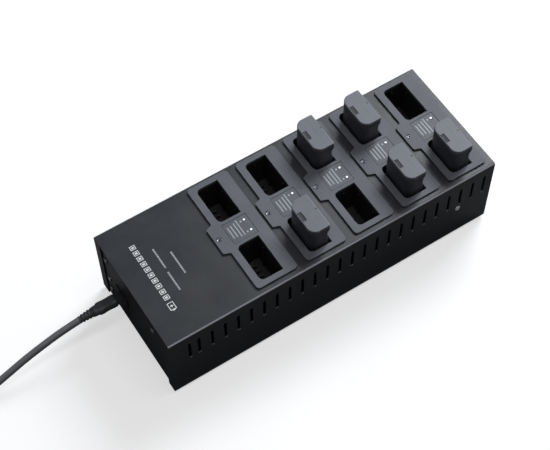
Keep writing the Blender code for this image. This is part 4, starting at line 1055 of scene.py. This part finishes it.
def body_stations():
    """Sections of the plug's body: it swells by 3s^2 - 2s^3, runs straight and ends in a rounded face."""
    wide, tall = PLUG_BODY
    collar = COLLAR_WIDE[1]
    swell = np.linspace(0, 1, 15)[1:]
    ease = swell * swell * (3 - 2 * swell)
    stations = [
        (0.0096 + 0.0100 * s, collar + (wide - collar) * e, collar + (tall - collar) * e, 0.0046)
        for s, e in zip(swell, ease)
    ]
    stations += [(0.0250, wide, tall, 0.0044), (PLUG_FACE, wide, tall, 0.0044)]
    for angle in np.linspace(0, math.pi / 2, 6)[1:]:
        inset = 2 * PLUG_ROUND * (1 - math.cos(angle))
        stations.append((PLUG_FACE + PLUG_ROUND * math.sin(angle), wide - inset, tall - inset, 0.0044))
    return stations


def make_plug(finish, blade_finish):
    """Mains plug: rounded sections along its middle line, grown from a ribbed collar; two rounded blades."""
    along, widths, heights, radii = map(np.array, zip(*collar_stations(), *body_stations()))
    rings = plug_rings(along, rounded_outlines(widths, heights, radii, 6))
    plug = mesh_object("mains_plug_body", *tube_parts(rings))
    stand_for(plug, "mains_plug", finish=finish, slot="lead_moulding")
    reach, thick, tall, corner = map(np.array, zip(*BLADE_SECTIONS))
    outline = rounded_outlines(thick, tall, corner, 3)
    blades = [tube_parts(plug_rings(reach, outline, side * BLADE_SPREAD)) for side in (-1, 1)]
    pair = join_parts("plug_blades", blades)
    pair.data.materials.append(blade_finish)
    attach(pair, "lead")
    return plug, pair


# ---- Battery packs ----
PACK_EDGE = 0.0008
PACK_CORNERS = (0.0085, 0.0013)  # towards -X and +X
SHOULDER = ((-1.0, 0.0), (0.0082, 0.0), (0.0120, 0.0025), (0.0212, 0.0025), (0.0219, 0.0012), (1.0, 0.0012))
SHOULDER_PIVOT = 0.0045  # from the pack's middle to where the set-back starts
THUMB_MARK = ((-0.0074, 0.0012), (0.0022, 0.0053), 0.0007)  # middle, half sizes and depth
PIN_HOLE = ((0.0086, 0.0020), 0.00065, 0.0012)  # middle, radius and depth
CAP_GROOVE = (0.0016, (0.0003, 0.0130), 0.00005)  # x, half sizes and depth
CAP_CROWN = (0.00012, 0.0203)  # the fall at this distance from the middle
CONTACT_SLOT = ((0.0030, 0.0080), (0.0031, 0.0078), 0.0045)  # middle, half sizes and depth
SEAM_GAP = 0.0002
SEAM_LIP = ((0.0006, 0.0), (0.0003, 0.00002), (0.0, 0.0003))  # in from the wall, and away from the seam
FOOT_ROUND = 0.001
EDGE_ARC = np.linspace(0, math.pi / 2, 6)[1:]


def inside_box(x, y, middle, half, slope):
    """0 outside a box, rising to 1 over the slope's width inside it."""
    depth = np.minimum(half[0] - np.abs(x - middle[0]), half[1] - np.abs(y - middle[1]))
    return np.clip(depth / slope, 0, 1)


def crown_drop(y):
    """How far the cap's crown has fallen: with the square of the distance from its middle."""
    return CAP_CROWN[0] * (y / CAP_CROWN[1]) ** 2


def cap_relief(x, y):
    """How far the cap's top lies below its middle: thumb recess, pin hole, shallow groove and crown."""
    mark, mark_half, mark_depth = THUMB_MARK
    hole, hole_radius, hole_depth = PIN_HOLE
    groove_x, groove_half, groove_depth = CAP_GROOVE
    depth = mark_depth * inside_box(x, y, mark, mark_half, 0.00022)
    away = np.hypot(x - hole[0], y - hole[1])
    depth += hole_depth * np.clip((hole_radius - away) / 0.00015, 0, 1)
    depth += groove_depth * inside_box(x, y, (groove_x, 0), groove_half, 0.00025)
    return depth + crown_drop(y)


def slot_relief(x, y):
    """The contact slot in a pack's underside."""
    middle, half, depth = CONTACT_SLOT
    return depth * inside_box(x, y, middle, half, 0.0001)


def flat_relief(x, y):
    """No relief."""
    return np.zeros_like(x)


def lines_about(*spans):
    """Grid lines: (low, high, count) spans put together in order."""
    return np.unique(np.round(np.concatenate([np.linspace(*part) for part in spans]), 7))


CAP_LINES = (
    lines_about((-0.0094, 0.0094, 13), (-0.0098, -0.0092, 4), (-0.0056, -0.0050, 4),
                (0.0012, 0.0020, 7), (0.0078, 0.0094, 17)),
    lines_about((-0.0194, 0.0194, 27), (-0.0043, -0.0036, 5), (0.0060, 0.0067, 5),
                (0.0012, 0.0028, 17), (0.0128, 0.0131, 3)),
)
CASE_LINES = (
    lines_about((-0.0094, 0.0094, 9), (-0.0001, 0.0, 2), (0.0060, 0.0061, 2)),
    lines_about((-0.0194, 0.0194, 13), (0.0002, 0.0003, 2), (0.0157, 0.0158, 2)),
)


def plan_lines(lines, half_x, half_y):
    """The block's grid lines: x lines with both ends, and y lines that follow the corners' arcs."""
    arc = np.linspace(0, math.pi / 2, 9)
    ys = [lines[1][np.abs(lines[1]) < half_y]]
    for corner in PACK_CORNERS:
        r = corner - PACK_EDGE
        ys += [half_y - r + r * np.sin(arc), -(half_y - r + r * np.sin(arc))]
    xs = lines[0][np.abs(lines[0]) < half_x]
    xs = np.unique(np.round(np.concatenate([[-half_x], xs, [half_x]]), 7))
    return xs, np.unique(np.round(np.concatenate(ys), 7))


def side_reach(ys, corner, half_x, half_y):
    """How far a rounded plan reaches along X at each y, and the sine of its corner's angle there."""
    r = corner - PACK_EDGE
    over = np.clip(np.abs(ys) - (half_y - r), 0, r)
    return half_x - r + np.sqrt(r * r - over * over), over / r


def set_back(points, middle, half_x):
    """Draw the +X side in by the shoulder's set-back at each point's depth below the top."""
    limit = np.interp(middle[2] - points[:, 2], *zip(*SHOULDER))
    beyond = np.clip(points[:, 0] - SHOULDER_PIVOT, 0, None)
    points[:, 0] -= beyond * limit / (half_x - SHOULDER_PIVOT)


def block(middle, half, heights, relief_top, relief_low, wall, lines):
    """A closed block whose plan is a rounded rectangle, as points, faces and UVs.

    Its top and bottom are grids (x, y, height(x, y)) inside the plan inset by the edge; its wall is the inset
    outline moved out along its normals, P(k, b) = outline(b) + out(k) n(b), and beyond a line its +X side is
    drawn in by the shoulder's set-back at that depth.
    """
    half_x, half_y = half[0] - PACK_EDGE, half[1] - PACK_EDGE
    xs, ys = plan_lines(lines, half_x, half_y)
    (left, lean_left), (right, lean_right) = (side_reach(ys, c, half_x, half_y) for c in PACK_CORNERS)
    share = (xs + half_x) / (2 * half_x)
    x = -left[:, None] + share * (left + right)[:, None]
    y = np.broadcast_to(ys[:, None], x.shape)
    rows, columns = x.shape
    border = np.concatenate([
        np.arange(columns - 1),
        np.arange(rows - 1) * columns + columns - 1,
        (rows - 1) * columns + np.arange(columns - 1, 0, -1),
        np.arange(rows - 1, 0, -1) * columns,
    ])
    lean = np.zeros((rows, columns, 2))
    lean[:, 0] = np.stack([-np.sqrt(1 - lean_left**2), np.sign(ys) * lean_left], -1)
    lean[:, -1] = np.stack([np.sqrt(1 - lean_right**2), np.sign(ys) * lean_right], -1)
    lean[0, :] = (0, -1)
    lean[-1, :] = (0, 1)
    outward = lean.reshape(-1, 2)[border]
    top = np.stack([x, y, heights[1] - relief_top(x, y)], -1).reshape(-1, 3)
    low = np.stack([x, y, heights[0] + relief_low(x, y)], -1).reshape(-1, 3)
    rings = []
    for out, z in wall:
        ring = np.empty((len(border), 3))
        ring[:, :2] = top[border, :2] + out * outward
        ring[:, 2] = z
        rings.append(ring)
    points = np.concatenate([top, low, *rings])
    set_back(points, middle, half[0])
    count, around = rows * columns, len(border)
    faces = grid_faces(rows, columns)
    faces += [tuple(reversed(face)) for face in grid_faces(rows, columns, count)]
    starts = 2 * count + np.arange(len(rings)) * around
    loops = [border, *(starts[:, None] + np.arange(around)), border + count]
    for upper, lower in zip(loops, loops[1:]):
        faces += np.stack([upper, lower, np.roll(lower, -1), np.roll(upper, -1)], -1).tolist()
    uv = points[:, :2] + points[:, 2:]
    return points + [middle[0], middle[1], 0], faces, uv


def pack_place(name):
    """A pack's middle at its top, its plan's half sizes, and the heights of its seam and foot."""
    low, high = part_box(f"pack_cap_{name}")
    middle = ((low.x + high.x) / 2, (low.y + high.y) / 2, high.z)
    half = ((high.x - low.x) / 2, (high.y - low.y) / 2)
    return middle, half, low.z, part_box(f"pack_case_{name}")[0].z


def make_cap(name, finish):
    """A pack's cap: a block with a relief in its top, whose wall ends in the seam's upper lip.

    Its point values: "sunk" is 1 in the recesses, and "edge" is 1 round the top's rim.
    """
    middle, half, seam, _ = pack_place(name)
    edge, top = PACK_EDGE, middle[2]
    rim = [(edge * math.sin(a), top - edge * (1 - math.cos(a))) for a in EDGE_ARC]
    drop = float(cap_relief(np.array(0.0), np.array(half[1])))
    wall = [(out, z - drop * (1 - out / edge)) for out, z in rim]
    wall += [(edge - inset, seam + away) for inset, away in reversed(SEAM_LIP)]
    parts = block(middle, half, (seam, top), cap_relief, flat_relief, wall, CAP_LINES)
    cap = mesh_object(f"cap_{name}", *parts)
    x, y, z = (parts[0] - [middle[0], middle[1], 0]).T
    near_top = z > top - 0.0015
    sunk = cap_relief(x, y) - crown_drop(y)
    mark_points(cap, "sunk", np.clip(sunk / 0.0004 - 0.3, 0, 1) * near_top)
    inner = np.minimum(half[0] - np.abs(x), half[1] - np.abs(y))
    # The "edge" mark drives the cap's edge wear and its painted rim highlight.
    mark_points(cap, "edge", np.clip(1.4 - inner / edge, 0, 1) * near_top)
    stand_for(cap, f"pack_cap_{name}", finish=finish, slot="pack_cap_plastic")


def make_case(name, finish):
    """A pack's case: a block below the seam's lower lip, with a shoulder, a rounded foot and a slot."""
    middle, half, seam, foot = pack_place(name)
    edge, top = PACK_EDGE, middle[2]
    high = seam - SEAM_GAP
    levels = [top - depth for depth, _ in SHOULDER]
    levels = sorted({z for z in levels if seam > z > foot + 0.002}, reverse=True)
    wall = [(edge - inset, high - away) for inset, away in SEAM_LIP]
    wall += [(edge, z) for z in (*levels, foot + FOOT_ROUND)]
    wall += [(edge * math.cos(a), foot + FOOT_ROUND * (1 - math.sin(a))) for a in EDGE_ARC[:-1]]
    parts = block(middle, half, (foot, high), flat_relief, slot_relief, wall, CASE_LINES)
    case = mesh_object(f"case_{name}", *parts)
    stand_for(case, f"pack_case_{name}", finish=finish, slot="pack_case_plastic")


# ---- Case, modules and fasteners ----
def shifted(obj, name, step):
    """A copy of a piece with its mesh moved by a step."""
    mesh = obj.data.copy()
    mesh.name = name
    mesh.transform(Matrix.Translation(step))
    made = obj.copy()
    made.name = name
    made.data = mesh
    bpy.context.scene.collection.objects.link(made)
    return made


def make_modules(cradle_finish, film_finish):
    """The first module's rounded plate and legend film, copied to each bay."""
    plate = soften("cradle_plate_1", "cradle_module_1", 0.00045, 3)
    film = soften("legend_sheet_1", "legend_plate_1", 0.00012, 1)
    for i, middle in enumerate(BAYS):
        number, step = i + 1, middle - BAYS[0]
        this_plate = plate if i == 0 else shifted(plate, f"cradle_plate_{number}", step)
        this_film = film if i == 0 else shifted(film, f"legend_sheet_{number}", step)
        stand_for(this_plate, f"cradle_module_{number}", finish=cradle_finish, slot="moulded_plastic")
        stand_for(this_film, f"legend_plate_{number}", finish=film_finish, slot="legend_film")


LENS_RADIUS = 0.00112
LENS_RISE = 0.00050
LENS_ARC = np.linspace(0, math.pi / 2 * 0.96, 8)


def make_lenses(finish):
    """Two domes for each module on the ends of its light pipe: r = R cos a, z = base + rise sin a."""
    for number, middle in enumerate(BAYS, 1):
        low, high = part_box(f"light_pipe_{number}")
        x, base = (low.x + high.x) / 2, high.z - 0.0001
        profile = [(LENS_RADIUS, high.z - 0.0006)]
        profile += [(LENS_RADIUS * math.cos(a), base + LENS_RISE * math.sin(a)) for a in LENS_ARC]
        domes = [turned_parts(profile, 20, (x, middle.y + side * LAMP_SPREAD, 0)) for side in (-1, 1)]
        lens = join_parts(f"lamp_lenses_{number}", domes)
        lens.data.materials.append(finish)
        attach(lens, "station")


def turned_piece(name, profile, sides, source, finish, slot):
    """A profile turned about the middle of a model piece, which it replaces."""
    low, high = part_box(source)
    made = mesh_object(name, *turned_parts(profile, sides, ((low.x + high.x) / 2, (low.y + high.y) / 2, 0)))
    made.data.set_sharp_from_angle(angle=math.radians(50))
    stand_for(made, source, finish=finish, slot=slot)


def make_module_screws(finish):
    """Countersunk cap screws seen from above: a rim, a dished face and a deep round socket."""
    for number in range(1, BAY_COUNT + 1):
        source = f"module_screw_{number}"
        low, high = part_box(source)
        radius, top = (high.x - low.x) / 2, high.z
        profile = [
            (0.0014, low.z + 0.0003),
            (0.0014, top - 0.0009),
            (radius, top - 0.0009),
            (radius, top - 0.0002),
            (radius - 0.0002, top),
            (radius - 0.0006, top),
            (radius * 0.50, top - 0.00045),
            (radius * 0.42, top - 0.0005),
            (radius * 0.38, top - 0.0008),
            (radius * 0.02, top - 0.00085),
        ]
        turned_piece(f"cradle_screw_{number}", profile, 32, source, finish, "screw_steel")


def make_feet(finish):
    """Moulded feet: a disc with a rounded rim and a shallow ring on its underside."""
    for name in named("foot_"):
        low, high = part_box(name)
        radius, top = (high.x - low.x) / 2, high.z
        profile = [
            (radius * 0.02, 0.0004),
            (radius * 0.55, 0.0004),
            (radius * 0.60, 0.0),
            (radius - 0.0016, 0.0),
            (radius - 0.0010, 0.0002),
            (radius - 0.0005, 0.0008),
            (radius, top - 0.0006),
            (radius - 0.0002, top),
            (radius * 0.02, top),
        ]
        turned_piece(f"rubber_{name}", profile, 40, name, finish, "foot_rubber")


def repaint(names, finish):
    """A better finish on model pieces whose shapes are right."""
    for name in names:
        materials = MODEL[name].data.materials
        materials.clear()
        materials.append(finish)


def named(prefix):
    """The model's pieces whose names start so, in order."""
    return sorted(name for name in MODEL if name.startswith(prefix))


make_camera()
FINISHES = make_finishes()
cord, cord_path, cord_exit = make_lead(FINISHES["jacket"])
boot = make_boot(FINISHES["moulding"])
connector = make_connector(FINISHES["moulding"])
plug, blades = make_plug(FINISHES["moulding"], FINISHES["nickel"])
tie = make_tie(FINISHES["strap"])
make_studio()
for part in ("cover", "chassis"):
    stand_for(soften(f"case_{part}", part, 0.0003), part, finish=FINISHES[part], slot="painted_steel")
make_modules(FINISHES["cradle"], FINISHES["legend"])
make_lenses(FINISHES["lens"])
make_module_screws(FINISHES["dark_screw"])
for screw in named("side_screw") + named("end_screw"):
    metal = FINISHES["zinc" if screw.startswith("side") else "steel"]
    stand_for(soften(f"round_{screw}", screw, 0.00012), screw, finish=metal, slot="screw_steel")
make_feet(FINISHES["rubber"])
inlet = soften("inlet_shell", "mains_inlet", 0.0003)
stand_for(inlet, "mains_inlet", finish=FINISHES["inlet"], slot="inlet_plastic")
for pack in PACKS:
    make_cap(pack, FINISHES["pack_cap"])
    make_case(pack, FINISHES["pack_case"])
repaint(named("light_pipe"), FINISHES["pipe"])
repaint(named("contact_board"), FINISHES["contact_board"])
repaint(["power_board"], FINISHES["power_board"])
repaint(["heat_sink"], FINISHES["aluminium"])
repaint(["ribbon_cable"], FINISHES["ribbon"])

import json
